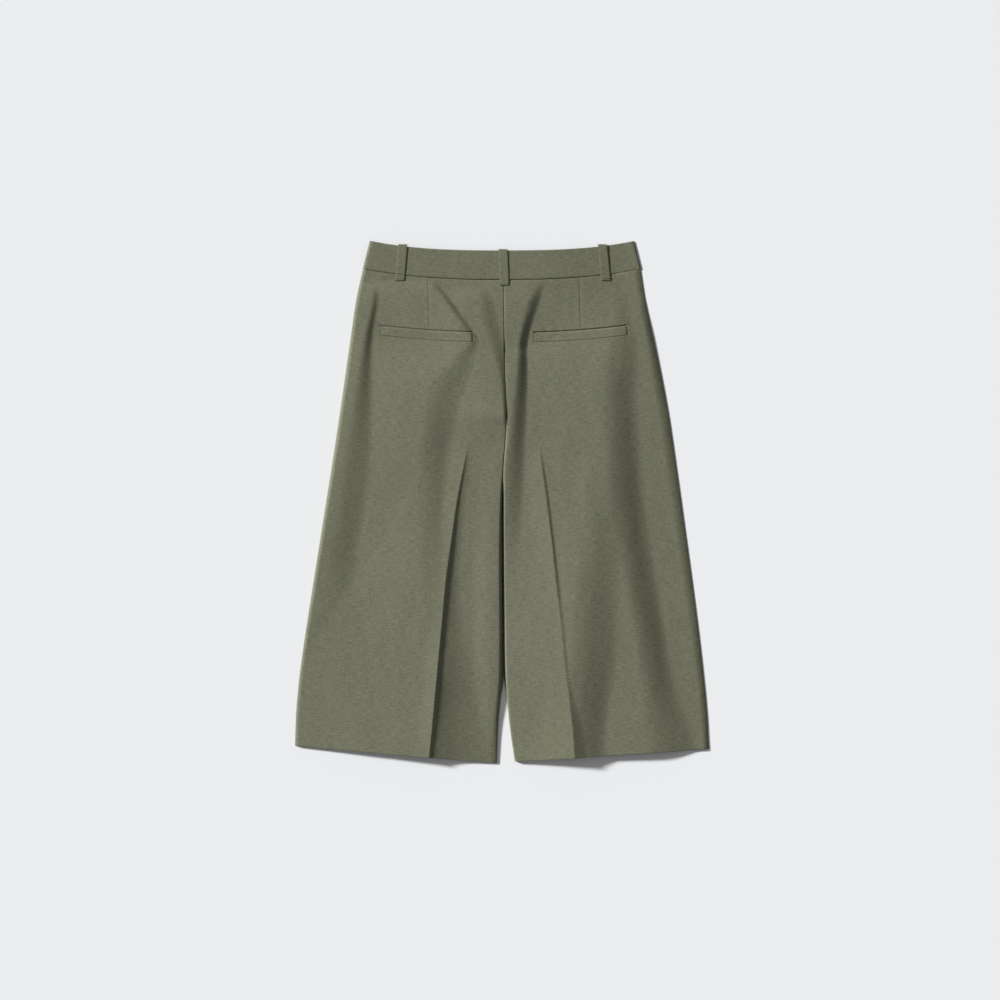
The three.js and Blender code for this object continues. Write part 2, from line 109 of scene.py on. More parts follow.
@dataclass(frozen=True)
class Waist:
    """The waistband's lines, in millimetres."""

    half_top: float = 169.0
    half_seam: float = 178.0
    top_side: float = 334.0
    top_centre: float = 321.7
    seam_side: float = 298.0
    seam_centre: float = 284.2
    front_dip: float = 12.0
    front_dip_reach: float = 165.0
    thickness: float = 2.4
    front_base: float = 1.8
    settles_from: float = 55.0
    settles_by: float = 0.72

    @property
    def back_base(self) -> float:
        """Height of the back waistband's underside."""
        return self.front_base + self.thickness + BUILD.gap

    def settled(self, x: np.ndarray) -> np.ndarray:
        """The share of its height that the waist keeps at each x: its right end lies lowest."""
        reach = self.half_seam - self.settles_from
        return 1 - self.settles_by * smooth_step((x - self.settles_from) / reach)

    def level(self, x: np.ndarray) -> np.ndarray:
        """Height of the back waistband's face at each x."""
        return (self.back_base + self.thickness) * self.settled(x)

    def seam(self, x: np.ndarray) -> np.ndarray:
        """The y of the waist seam at each x."""
        return self.seam_centre + (self.seam_side - self.seam_centre) * (np.abs(x) / self.half_seam) ** 2.4

    def top(self, x: np.ndarray) -> np.ndarray:
        """The y of the waistband's upper edge at each x."""
        return self.top_centre + (self.top_side - self.top_centre) * (np.abs(x) / self.half_top) ** 2.8

    def dip(self, x: np.ndarray) -> np.ndarray:
        """How much lower than the back the front waist lies at each x."""
        return self.front_dip * np.clip(1 - (x / self.front_dip_reach) ** 2, 0, 1) ** 2


BUILD = Build()
WAIST = Waist()


@dataclass(frozen=True)
class Section:
    """One row across a leg: the x of its lines at a share of the leg's length."""

    share: float
    outseam: float
    crease: float
    inner: float
    roll: float
    inner_roll: float


@dataclass(frozen=True)
class LegOutline:
    """A leg's outline, from the waist seam to the hem.

    flatness is how far the outseam's edge slopes to the surface rather than rolls, and
    seam_drop is how far the cloth turns down into the centre seam.
    """

    side: Side
    hem_outer: float
    hem_inner: float
    seam_drop: float
    sections: tuple[Section, ...]
    flatness: float = 0.0

    def line(self, name: str, share: np.ndarray) -> np.ndarray:
        """The x of a named line at each share, on a smooth curve through the sections.

        Args:
            name: outseam, crease, inner, roll or inner_roll.
            share: shares of the leg's length, 0 at the waist seam and 1 at the hem.

        Returns:
            The x of the line, in millimetres.
        """
        knots = [section.share for section in self.sections]
        return smooth_curve(share, knots, [getattr(section, name) for section in self.sections])

    def y_of(self, share: np.ndarray, across: np.ndarray) -> np.ndarray:
        """The y of a point at a share down the leg and a share across it."""
        first = self.sections[0]
        top = WAIST.seam(first.outseam + (first.inner - first.outseam) * across) - BUILD.gap / 2
        hem = self.hem_outer + (self.hem_inner - self.hem_outer) * across
        return top + (hem - top) * share


LEFT_OUTLINE = LegOutline(
    side=Side.LEFT,
    hem_outer=-312,
    hem_inner=-334,
    seam_drop=0.8,
    sections=(
        Section(0.000, -178.0, -50, 1.8, 4.6, 0.9),
        Section(0.065, -186.6, -49, 2.2, 4.6, 0.9),
        Section(0.160, -195.0, -48, 3.0, 4.6, 0.9),
        Section(0.297, -207.0, -47, 5.3, 4.6, 0.9),
        Section(0.400, -216.5, -49, 0.9, 4.6, 1.6),
        Section(0.550, -231.0, -59, 0.3, 4.6, 4.5),
        Section(0.820, -256.5, -81, 0.3, 4.6, 5.0),
        Section(0.920, -263.0, -88, -4.6, 4.6, 8.0),
        Section(1.000, -265.0, -94, -6.6, 4.6, 11.0),
    ),
)
RIGHT_OUTLINE = LegOutline(
    side=Side.RIGHT,
    hem_outer=-316,
    hem_inner=-332,
    seam_drop=0.35,
    flatness=0.75,
    sections=(
        Section(0.000, 177.6, 52, 2.1, 8.0, 4.0),
        Section(0.065, 183.7, 51, 2.5, 8.5, 4.0),
        Section(0.160, 196.5, 50, 3.3, 10.0, 4.0),
        Section(0.297, 212.8, 49, 5.6, 12.5, 4.0),
        Section(0.400, 222.2, 52, 1.7, 13.0, 3.0),
        Section(0.550, 235.0, 62, 1.6, 12.0, 2.0),
        Section(0.700, 247.5, 73, 2.6, 10.7, 2.4),
        Section(0.820, 256.3, 82, 4.3, 9.5, 2.4),
        Section(0.920, 262.3, 89, 9.4, 8.0, 2.0),
        Section(1.000, 265.0, 93, 16.4, 7.0, 2.0),
    ),
)


def smooth_curve(at: np.ndarray, knots: list[float], values: list[float]) -> np.ndarray:
    """A smooth curve through a table's rows.

    Args:
        at: where to read the curve.
        knots: the rows' places, rising.
        values: the rows' values.

    Returns:
        The curve's value at each place.
    """
    k = np.asarray(knots, float)
    v = np.asarray(values, float)
    slope = np.gradient(v, k) if len(k) < 3 else _slopes(k, v)
    i = np.clip(np.searchsorted(k, at, side="right") - 1, 0, len(k) - 2)
    run = k[i + 1] - k[i]
    t = np.clip((at - k[i]) / run, 0, 1)
    return (
        (2 * t**3 - 3 * t**2 + 1) * v[i]
        + (t**3 - 2 * t**2 + t) * run * slope[i]
        + (3 * t**2 - 2 * t**3) * v[i + 1]
        + (t**3 - t**2) * run * slope[i + 1]
    )


def _slopes(k: np.ndarray, v: np.ndarray) -> np.ndarray:
    """Slopes of a smooth curve at its knots, from each knot's two neighbours."""
    before = np.maximum(np.arange(len(k)) - 1, 0)
    after = np.minimum(np.arange(len(k)) + 1, len(k) - 1)
    return (v[after] - v[before]) / (k[after] - k[before])


def smooth_step(t: np.ndarray) -> np.ndarray:
    """0 below 0, 1 above 1, and smooth between."""
    c = np.clip(t, 0, 1)
    return c * c * (3 - 2 * c)


# ------------------------------------------------------------------ folds


@dataclass(frozen=True)
class Crest:
    """One place on a fold's crest: its rise and its reach to each side, in millimetres."""

    y: float
    x: float
    rise: float
    left: float
    right: float


@dataclass(frozen=True)
class Fold:
    """A fold of the cloth that follows a crest from the waist towards the hem.

    left_power and right_power shape its two flanks: 0 is a soft bell, 1 a straight
    slope, and more than 1 a slope that is steepest at the crest. lean carries the crest
    to +X, over the cloth beside it, and fades out over lean_left and lean_right.
    """

    name: str
    crests: tuple[Crest, ...]
    left_power: float = 0.0
    right_power: float = 0.0
    lean: float = 0.0
    lean_left: float = 12.0
    lean_right: float = 6.0

    def _read(self, key: str, y: np.ndarray) -> np.ndarray:
        """One of the crest's values at each y."""
        return smooth_curve(-y, [-c.y for c in self.crests], [getattr(c, key) for c in self.crests])

    def rise_at(self, x: np.ndarray, y: np.ndarray) -> np.ndarray:
        """The height that the fold adds at each point."""
        away = x - self._read("x", y)
        left = flank(np.clip(-away / self._read("left", y), 0, 1), self.left_power)
        right = flank(np.clip(away / self._read("right", y), 0, 1), self.right_power)
        inside = (y <= self.crests[0].y) & (y >= self.crests[-1].y)
        return np.where(inside, self._read("rise", y) * left * right, 0.0)

    def lean_at(self, x: np.ndarray, y: np.ndarray) -> np.ndarray:
        """How far the fold carries each point to +X."""
        if self.lean == 0:
            return np.zeros_like(x)
        away = x - self._read("x", y)
        reach = np.abs(away) / np.where(away < 0, self.lean_left, self.lean_right)
        inside = (y <= self.crests[0].y) & (y >= self.crests[-1].y)
        share = self._read("rise", y) / max(c.rise for c in self.crests)
        return np.where(inside, self.lean * share * np.clip(1 - reach, 0, 1) ** 2, 0.0)


def flank(reach: np.ndarray, power: float) -> np.ndarray:
    """A fold's flank, from 1 at its crest to 0 at its foot.

    Args:
        reach: how far out each point is, from 0 at the crest to 1 at the foot.
        power: the flank's shape, as a fold states it.

    Returns:
        The share of the fold's rise at each point.
    """
    if power == 0:
        return (1 - reach**2) ** 2
    return (1 - reach) ** power


def crests(*rows: tuple[float, float, float, float, float]) -> tuple[Crest, ...]:
    """A fold's crest from rows of y, x, rise, left reach and right reach."""
    return tuple(Crest(*row) for row in rows)


LEFT_FOLDS: tuple[Fold, ...] = (
    Fold(
        "seam rise",
        crests(
            (284, 3, 0.0, 220, 60),
            (271, 3, 1.5, 220, 60),
            (258, 3, 2.9, 220, 60),
            (207, 3, 4.9, 220, 60),
            (182, 3, 6.0, 220, 60),
            (156, 3, 7.2, 220, 60),
            (105, 3, 7.6, 220, 60),
            (54, 3, 7.4, 220, 60),
            (3, 3, 6.4, 210, 60),
            (-49, 3, 4.6, 200, 60),
            (-100, 3, 3.4, 180, 60),
            (-151, 3, 2.6, 160, 60),
            (-202, 3, 1.6, 150, 60),
            (-250, 3, 0.0, 150, 60),
        ),
    ),
    Fold(
        "side roll",
        crests(
            (278, -166, 0.0, 60, 7),
            (258, -166, 2.0, 60, 8),
            (207, -177, 3.8, 60, 12),
            (156, -187, 5.2, 60, 23),
            (105, -195, 4.8, 60, 31),
            (54, -204, 4.6, 60, 38),
            (3, -212, 4.2, 60, 41),
            (-49, -220, 3.2, 60, 40),
            (-100, -229, 1.6, 60, 38),
            (-151, -243, 0.7, 60, 36),
            (-215, -256, 0.0, 60, 36),
        ),
    ),
    Fold(
        "seat drag",
        crests(
            (284, -95, 0.0, 60, 7),
            (273, -85, 2.2, 180, 8),
            (258, -74, 3.1, 200, 9),
            (240, -62, 3.0, 200, 10),
            (222, -49, 2.8, 200, 11),
            (207, -42, 2.2, 200, 13),
            (190, -57, 2.6, 200, 24),
            (170, -78, 4.2, 200, 42),
            (150, -93, 5.4, 190, 50),
            (105, -101, 5.9, 200, 46),
            (54, -108, 5.3, 190, 44),
            (3, -112, 4.0, 150, 43),
            (-49, -111, 3.0, 90, 42),
            (-100, -108, 2.2, 90, 38),
            (-151, -105, 1.2, 90, 34),
            (-200, -105, 0.0, 90, 30),
        ),
    ),
    Fold(
        "seam flank",
        crests(
            (276, -31, 0.0, 40, 14),
            (258, -29, 2.2, 70, 18),
            (207, -21, 3.4, 80, 24),
            (182, -10, 3.6, 90, 18),
            (156, -3, 3.6, 90, 12),
            (130, 0, 4.0, 90, 10),
            (110, 1.5, 4.6, 90, 9),
            (96, 2, 2.4, 80, 9),
            (75, 2, 0.0, 80, 10),
        ),
    ),
    Fold(
        "crease",
        crests(
            (78, -44, 0.0, 40, 8),
            (52, -48, 1.2, 50, 11),
            (3, -57.5, 2.2, 70, 13),
            (-49, -65, 3.2, 90, 15),
            (-100, -72, 4.2, 120, 20),
            (-151, -77, 5.4, 150, 30),
            (-202, -82, 7.0, 170, 46),
            (-253, -87, 8.9, 180, 60),
            (-305, -92, 9.8, 180, 76),
            (-345, -96, 9.6, 180, 80),
        ),
        left_power=1.1,
        right_power=1.9,
        lean=1.2,
    ),
    Fold(
        "crease edge",
        crests(
            (70, -45.5, 0.0, 18, 4),
            (52, -48, 0.5, 18, 4),
            (3, -57.5, 0.8, 18, 4),
            (-49, -65, 0.8, 18, 4),
            (-100, -72, 1.0, 18, 4),
            (-151, -77, 1.3, 18, 4.5),
            (-202, -82, 1.5, 18, 5),
            (-253, -87, 1.5, 18, 5),
            (-305, -92, 1.2, 18, 5),
            (-345, -96, 1.0, 18, 5),
        ),
        left_power=1.6,
        right_power=1.3,
    ),
    Fold(
        "inner roll",
        crests(
            (60, -3, 0.0, 24, 40),
            (3, -4, 1.2, 30, 40),
            (-49, -5, 2.2, 34, 40),
            (-151, -6, 2.8, 36, 40),
            (-228, -7, 2.0, 30, 40),
            (-290, -8, 0.5, 24, 40),
            (-330, -9, 0.0, 24, 40),
        ),
    ),
)

RIGHT_FOLDS: tuple[Fold, ...] = (
    Fold(
        "seam ridge",
        crests(
            (284, 47, 0.0, 200, 9),
            (271, 40, 1.6, 200, 13),
            (258, 33, 3.4, 200, 17),
            (233, 26, 4.2, 200, 15),
            (207, 20.5, 4.6, 200, 13),
            (182, 18.5, 5.4, 200, 15),
            (156, 16, 5.8, 200, 18),
            (105, 10, 5.8, 200, 23),
            (54, 4.5, 5.0, 200, 26),
            (3, 1.5, 3.8, 200, 26),
            (-49, 1, 1.8, 200, 24),
            (-100, 2, 0.3, 200, 20),
            (-120, 2, 0.0, 200, 20),
        ),
    ),
    Fold(
        "hip roll",
        crests(
            (284, 139, 0.8, 60, 16),
            (258, 141, 1.5, 60, 22),
            (230, 144, 2.0, 70, 24),
            (207, 140, 3.0, 80, 34),
            (182, 132, 4.8, 180, 44),
            (156, 128, 6.8, 250, 46),
            (105, 129, 8.2, 280, 47),
            (54, 132, 9.0, 280, 47),
            (3, 137, 9.2, 270, 47),
            (-49, 146, 8.6, 240, 45),
            (-100, 156, 8.4, 240, 43),
            (-151, 166, 8.4, 240, 43),
            (-202, 174, 8.2, 240, 43),
            (-253, 180, 7.8, 230, 50),
            (-305, 184, 7.4, 210, 66),
            (-345, 188, 7.0, 200, 68),
        ),
        left_power=1.0,
    ),
    Fold(
        "crease fall",
        crests(
            (54, 102, 0.0, 120, 40),
            (3, 106, 2.2, 120, 44),
            (-49, 102, 4.8, 170, 52),
            (-100, 94, 7.0, 170, 60),
            (-151, 90, 8.6, 170, 62),
            (-202, 87, 9.2, 170, 62),
            (-253, 86, 8.8, 150, 54),
            (-305, 90, 7.2, 80, 44),
            (-345, 93, 7.2, 80, 44),
        ),
        left_power=1.0,
    ),
    Fold(
        "crease",
        crests(
            (68, 47, 0.0, 24, 4),
            (54, 49.5, 0.9, 24, 4),
            (3, 56.5, 1.5, 24, 4.5),
            (-49, 63, 1.6, 24, 4.5),
            (-100, 68.5, 1.6, 24, 5),
            (-151, 74.5, 1.0, 24, 5),
            (-202, 79.5, 0.9, 24, 5),
            (-240, 84, 1.2, 30, 6),
            (-275, 88, 2.2, 50, 11),
            (-305, 91, 2.8, 60, 15),
            (-345, 93.5, 2.8, 60, 15),
        ),
        left_power=1.4,
        right_power=1.4,
        lean=0.6,
    ),
)

LEFT_PLATEAU: tuple[tuple[float, float], ...] = (
    (0.00, 6.2),
    (0.04, 5.4),
    (0.12, 4.6),
    (0.40, 5.0),
    (0.60, 5.8),
    (0.80, 5.4),
    (0.90, 4.2),
    (1.00, 3.6),
)
RIGHT_PLATEAU: tuple[tuple[float, float], ...] = (
    (0.00, 6.2),
    (0.04, 5.4),
    (0.12, 4.5),
    (0.40, 4.0),
    (0.60, 3.4),
    (1.00, 3.3),
)


@dataclass(frozen=True)
class Groove:
    """A sewn line: the cloth steps down at it, and comes back up over its reach to +X."""

    start: tuple[float, float]
    end: tuple[float, float]
    depth: float
    width: float
    reach: float

    def depth_at(self, x: np.ndarray, y: np.ndarray) -> np.ndarray:
        """How deep the line is pressed at each point."""
        a = np.array(self.start)
        run = np.array(self.end) - a
        length = float(np.hypot(*run))
        along = ((x - a[0]) * run[0] + (y - a[1]) * run[1]) / length
        past = ((y - a[1]) * run[0] - (x - a[0]) * run[1]) / length
        ends = smooth_step((along + 1.5) / 3) * smooth_step((length - along + 1.5) / 3)
        step = smooth_step((past + self.width / 2) / self.width)
        return self.depth * step * np.exp(-np.maximum(past, 0) / self.reach) * ends


DARTS: tuple[Groove, ...] = (
    Groove((-95.6, 288.0), (-93.6, 223.0), 0.30, 0.8, 5.0),
    Groove((98.0, 288.0), (100.0, 224.0), 0.36, 0.8, 5.0),
)


@dataclass(frozen=True)
class Relief:
    """The shape that one back leg's cloth lies in."""

    folds: tuple[Fold, ...]
    plateau: tuple[tuple[float, float], ...]
    grooves: tuple[Groove, ...] = DARTS
    ripple: float = 0.16
    ripple_size: float = 38.0
    settles_within: float = 0.14

    def height(self, share: np.ndarray, x: np.ndarray, y: np.ndarray) -> np.ndarray:
        """Height of the back's outer face at each point.

        Args:
            share: the points' shares of the leg's length.
            x: the points' x, in millimetres.
            y: the points' y, in millimetres.

        Returns:
            Heights above the surface, in millimetres.
        """
        knots, heights = zip(*self.plateau)
        z = smooth_curve(share, list(knots), list(heights))
        for fold in self.folds:
            z = z + fold.rise_at(x, y)
        z = z + self._ripples(x, y)
        near_waist = 1 - smooth_step(share / self.settles_within)
        z = z * (1 - (1 - WAIST.settled(x)) * near_waist)
        return np.maximum(z, BUILD.lowest_back)

    def pressed(self, x: np.ndarray, y: np.ndarray) -> np.ndarray:
        """How deep the sewn lines are pressed at each point."""
        return sum((g.depth_at(x, y) for g in self.grooves), np.zeros_like(x))

    def lean(self, x: np.ndarray, y: np.ndarray) -> np.ndarray:
        """How far folds carry each point to +X."""
        return sum((f.lean_at(x, y) for f in self.folds), np.zeros_like(x))

    def _ripples(self, x: np.ndarray, y: np.ndarray) -> np.ndarray:
        """Soft unevenness of cloth that has been worn and pressed."""
        size = self.ripple_size
        flat = [
            noise.noise(Vector((px / size, py / (2.6 * size), 3.7)))
            + 0.5 * noise.noise(Vector((px / 14, py / 40, 9.1)))
            for px, py in zip(x.ravel(), y.ravel())
        ]
        return self.ripple * np.array(flat).reshape(x.shape) * 2


RELIEFS: dict[Side, Relief] = {
    Side.LEFT: Relief(LEFT_FOLDS, LEFT_PLATEAU),
    Side.RIGHT: Relief(RIGHT_FOLDS, RIGHT_PLATEAU),
}


# ------------------------------------------------------------------ cloth sheets


@dataclass
class ClothGrid:
    """Points of a piece of cloth, with its weave's coordinates.

    place holds the points, in millimetres, row by row from the waist down. weave holds
    each point's place on the flat cloth, in metres, across and along the grain.
    """

    place: np.ndarray
    weave: np.ndarray

    def to_mesh(self, name: str) -> bpy.types.Mesh:
        """A mesh of the sheet, with its outer face up and its weave in a UV map.

        Args:
            name: the mesh's name.

        Returns:
            The mesh, in metres.
        """
        rows, columns = self.place.shape[:2]
        bm = bmesh.new()
        uv_layer = bm.loops.layers.uv.new("weave")
        bmesh.ops.create_grid(bm, x_segments=columns - 1, y_segments=rows - 1, size=0.5)
        bm.verts.ensure_lookup_table()
        corners = np.array([v.co[:2] for v in bm.verts])
        column = np.rint((corners[:, 0] + 0.5) * (columns - 1)).astype(int)
        row = np.rint((0.5 - corners[:, 1]) * (rows - 1)).astype(int)
        for vert, i, j in zip(bm.verts, row, column):
            vert.co = Vector(self.place[i, j]) * MM
        for face in bm.faces:
            for loop in face.loops:
                k = loop.vert.index
                loop[uv_layer].uv = self.weave[row[k], column[k]]
            face.smooth = True
        bm.normal_update()
        if sum(face.normal.z * face.calc_area() for face in bm.faces) < 0:
            bmesh.ops.reverse_faces(bm, faces=bm.faces)
        mesh = bpy.data.meshes.new(name)
        bm.to_mesh(mesh)
        bm.free()
        return mesh


def new_object(name: str, mesh: bpy.types.Mesh) -> bpy.types.Object:
    """An object of a mesh, linked to the scene."""
    piece = bpy.data.objects.new(name, mesh)
    bpy.context.scene.collection.objects.link(piece)
    return piece


def thicken(piece: bpy.types.Object, thickness: float) -> None:
    """Gives a sheet its wall, inwards from its outer face."""
    wall = piece.modifiers.new("wall", "SOLIDIFY")
    wall.thickness = thickness * MM
    wall.offset = -1
    wall.use_even_offset = False
    wall.use_quality_normals = True


def turned_edge(inside: np.ndarray, reach: float, drop: float) -> np.ndarray:
    """How far a pressed edge turns down, at each distance inside it, in millimetres."""
    return drop * np.clip(1 - inside / reach, 0, 1) ** 2


def graded(stops: list[tuple[float, float]]) -> np.ndarray:
    """Places from 0 to 1 whose spacing follows a table.

    Args:
        stops: pairs of a place and the spacing wanted there, rising from 0 to 1.

    Returns:
        The places, from 0 to 1.
    """
    knots, spacing = zip(*stops)
    fine = np.linspace(0, 1, 4001)
    density = 1 / np.interp(fine, knots, spacing)
    count = np.concatenate([[0], np.cumsum((density[1:] + density[:-1]) / 2 * np.diff(fine))])
    steps = int(math.ceil(count[-1]))
    return np.interp(np.linspace(0, count[-1], steps + 1), count, fine)


# ------------------------------------------------------------------ legs


@dataclass(frozen=True)
class PocketWelt:
    """A single-welt back pocket: a narrow strip set into a back leg."""

    side: Side
    outer_x: float
    inner_x: float
    top: float = 0.110
    bottom: float = 0.1305
    opening_depth: float = 1.5
    opening_width: float = 0.8
    seat_depth: float = 0.6
    strip_rise: float = 0.15
    strip_wall: float = 0.5

    def _between_ends(self, x: np.ndarray, margin: float) -> np.ndarray:
        """1 between the welt's ends and 0 outside, with a soft edge."""
        low, high = sorted((self.outer_x, self.inner_x))
        inside_low = smooth_step((x - low + margin) / (2 * margin))
        return inside_low * smooth_step((high - x + margin) / (2 * margin))

    def recess(self, share: np.ndarray, x: np.ndarray) -> np.ndarray:
        """How deep the leg's cloth lies under and around the welt.

        Args:
            share: the points' shares of the leg's length.
            x: the points' x, in millimetres.

        Returns:
            Depths below the leg's own surface, in millimetres.
        """
        length = BUILD.leg_length
        below_top = (share - self.top) * length
        above_bottom = (self.bottom - share) * length
        seat = smooth_step(below_top / 0.8 + 0.5) * smooth_step(above_bottom / 0.8 + 0.5)
        opening = np.exp(-((below_top / self.opening_width) ** 2))
        within = self._between_ends(x, 0.6)
        return within * np.maximum(self.seat_depth * seat, self.opening_depth * opening)

    def build(self, leg: "BackLeg") -> bpy.types.Object:
        """The welt's strip, laid on its leg.

        Args:
            leg: the back leg that the welt is sewn to.

        Returns:
            The strip's object.
        """
        length = BUILD.leg_length
        shares = np.linspace(self.top + 0.7 / length, self.bottom - 0.1 / length, 15)
        across_x = np.linspace(self.outer_x - self.side.value * 0.4, self.inner_x + self.side.value * 0.4, 90)
        share, x = np.meshgrid(shares, across_x, indexing="ij")
        y = leg.y_at(share, x)
        z = RELIEFS[self.side].height(share, x, y) + self.strip_rise
        depth = (shares - shares[0]) * length
        z = z - turned_edge(depth[:, None], 1.1, 0.75)
        z = z - turned_edge(depth[::-1, None], 0.7, 0.40)
        ends = np.minimum(np.abs(x - across_x[0]), np.abs(x - across_x[-1]))
        z = z - turned_edge(ends, 1.2, 0.3)
        place = np.stack([x, y, z], axis=-1)
        weave = np.stack([x, -share * length], axis=-1) * MM
        name = f"welt_{self.side.word}"
        piece = new_object(name, ClothGrid(place, weave).to_mesh(name))
        thicken(piece, self.strip_wall)
        return piece


@dataclass
class BackLeg:
    """One back leg: the cloth from the waist seam to the turned-up hem."""

    outline: LegOutline
    welt: PocketWelt
    roll_angles: np.ndarray = field(default_factory=lambda: np.radians(np.linspace(0, 90, 8)))
    hem_angles: np.ndarray = field(default_factory=lambda: np.radians(np.linspace(20, 180, 8)))

    def shares(self) -> np.ndarray:
        """The rows of the leg's grid, closest at its seams."""
        coarse, fine = 0.0050, 0.0010
        return graded(
            [
                (0.0, fine),
                (0.006, 0.003),
                (self.welt.top - 0.008, 0.004),
                (self.welt.top - 0.003, fine * 0.7),
                (self.welt.top + 0.003, fine * 0.7),
                (self.welt.bottom - 0.003, fine * 1.6),
                (self.welt.bottom + 0.002, fine),
                (self.welt.bottom + 0.010, 0.004),
                (0.20, coarse),
                (0.97, coarse),
                (1.0, 0.002),
            ]
        )

    def steps_out(self) -> np.ndarray:
        """Shares of the way from the outseam's roll to the crease."""
        return graded(
            [
                (0.0, 0.008),
                (0.05, 0.018),
                (0.58, 0.018),
                (0.600, 0.0034),
                (0.68, 0.0034),
                (0.70, 0.018),
                (0.88, 0.016),
                (0.97, 0.0050),
                (1.0, 0.0040),
            ]
        )[1:]

    def steps_in(self) -> np.ndarray:
        """Shares of the way from the crease to the inner edge's roll."""
        return graded([(0.0, 0.008), (0.10, 0.009), (0.2, 0.030), (0.8, 0.032), (1.0, 0.018)])[1:-1]

    def y_at(self, share: np.ndarray, x: np.ndarray) -> np.ndarray:
        """The y of a point of the leg at a share and an x."""
        outer = self.outline.line("outseam", share)
        inner = self.outline.line("inner", share)
        return self.outline.y_of(share, (x - outer) / (inner - outer))

    @staticmethod
    def seam_level(shares: np.ndarray) -> np.ndarray:
        """Height at which the two back legs meet along the centre seam."""
        levels = []
        for outline in (LEFT_OUTLINE, RIGHT_OUTLINE):
            x = outline.line("inner", shares)
            y = outline.y_of(shares, np.ones_like(shares))
            levels.append(RELIEFS[outline.side].height(shares, x, y))
        return np.minimum(*levels)

    def grid(self) -> ClothGrid:
        """The leg's outer face, from the waist seam to the inside of its hem."""
        shares = self.shares()
        outseam = self.outline.line("outseam", shares)[:, None]
        crease = self.outline.line("crease", shares)[:, None]
        inner = self.outline.line("inner", shares)[:, None]
        inward = -self.outline.side.value
        parted = smooth_step((shares - BUILD.crotch) / BUILD.crotch_blend)[:, None]
        inner_roll = self.outline.line("inner_roll", shares)[:, None]
        outer_roll = self.outline.line("roll", shares)[:, None]

        turn = self.roll_angles[None, :]
        outer_x = outseam + inward * outer_roll * (1 - np.cos(turn))
        start = outseam + inward * outer_roll
        stop = inner - inward * inner_roll
        out_x = start + (crease - start) * self.steps_out()[None, :]
        in_x = crease + (stop - crease) * self.steps_in()[None, :]
        back = turn[:, ::-1]
        inner_x = inner - inward * inner_roll * (1 - np.cos(back))

        x = np.concatenate([outer_x, out_x, in_x, inner_x], axis=1)
        share = np.broadcast_to(shares[:, None], x.shape)
        y = self.y_at(share, x)
        relief = RELIEFS[self.outline.side]
        top = relief.height(share, x, y)
        drop = np.zeros_like(x)
        rolled = turn.shape[1]
        full = top - BUILD.back_edge
        sloped = self.outline.flatness
        fall = sloped * np.cos(turn) ** 1.6 + (1 - sloped) * (1 - np.sin(turn))
        drop[:, :rolled] = (top[:, :rolled] - BUILD.edge_low) * fall
        seam_drop = top[:, -rolled:] - self.seam_level(shares)[:, None] + self.outline.seam_drop
        drop[:, -rolled:] = (seam_drop + (full[:, -rolled:] - seam_drop) * parted) * (1 - np.sin(back))
        z = top - drop - relief.pressed(x, y) - self.welt.recess(share, x)
        z = z - 0.5 * np.exp(-((share * BUILD.leg_length / 0.8) ** 2))
        place = np.stack([x + relief.lean(x, y), y, z], axis=-1)
        crease_column = rolled + self.steps_out().size - 1
        return self._with_hem(place, share, crease_column)

    def _with_hem(self, place: np.ndarray, share: np.ndarray, crease_column: int) -> ClothGrid:
        """Adds the hem's fold and turn-up inside the leg.

        Args:
            place: the leg's points.
            share: the points' shares of the leg's length.
            crease_column: the column that follows the crease.

        Returns:
            The whole leg's grid.
        """
        normal = surface_normals(place, self.outline.side)
        down = place[-1] - place[-2]
        down = down / np.linalg.norm(down, axis=-1, keepdims=True)
        radius = BUILD.hem_radius
        shift = radius * smooth_step((share[:, :, None] - 0.9) / 0.1)
        place = place - shift * down[None, :, :]
        edge, up = place[-1], normal[-1]
        fold = [edge + down * radius * math.sin(a) - up * radius * (1 - math.cos(a)) for a in self.hem_angles]
        turn_rows = [place[-1 - k] - normal[-1 - k] * 2 * radius for k in self._turn_up(share)]
        rows = np.concatenate([place, np.array(fold), np.array(turn_rows)], axis=0)
        rows[..., 2] = np.maximum(rows[..., 2], BUILD.cloth + BUILD.clear)
        return ClothGrid(rows, cloth_coordinates(rows, crease_column))

    def _turn_up(self, share: np.ndarray) -> list[int]:
        """The rows that lie over the turned-up hem, counted back from the hem."""
        reach = BUILD.hem_turn / BUILD.leg_length
        count = int(np.sum(share[:, 0] > 1 - reach))
        return list(range(2, count, 3))

    def build(self) -> bpy.types.Object:
        """The leg's object, with its wall."""
        name = f"back_leg_{self.outline.side.word}"
        piece = new_object(name, self.grid().to_mesh(name))
        thicken(piece, BUILD.cloth)
        return piece


def surface_normals(place: np.ndarray, side: Side) -> np.ndarray:
    """Upward normals of a grid of points.

    Args:
        place: the grid's points, rows running down the leg.
        side: the side of the leg, which sets the way its columns run.

    Returns:
        A unit vector at each point.
    """
    down = np.gradient(place, axis=0)
    across = np.gradient(place, axis=1)
    normal = np.cross(down, across) * -side.value
    return normal / np.linalg.norm(normal, axis=-1, keepdims=True)


def cloth_coordinates(place: np.ndarray, middle: int) -> np.ndarray:
    """Places on the flat cloth, in metres, measured from a column that the grain follows."""
    along = np.linalg.norm(np.diff(place, axis=1), axis=-1)
    across = np.concatenate([np.zeros((place.shape[0], 1)), np.cumsum(along, axis=1)], axis=1)
    across = across - across[:, middle : middle + 1]
    steps = np.linalg.norm(np.diff(place[:, middle], axis=0), axis=-1)
    down = np.concatenate([[0], np.cumsum(steps)])
    return np.stack([across, np.broadcast_to(-down[:, None], across.shape)], axis=-1) * MM


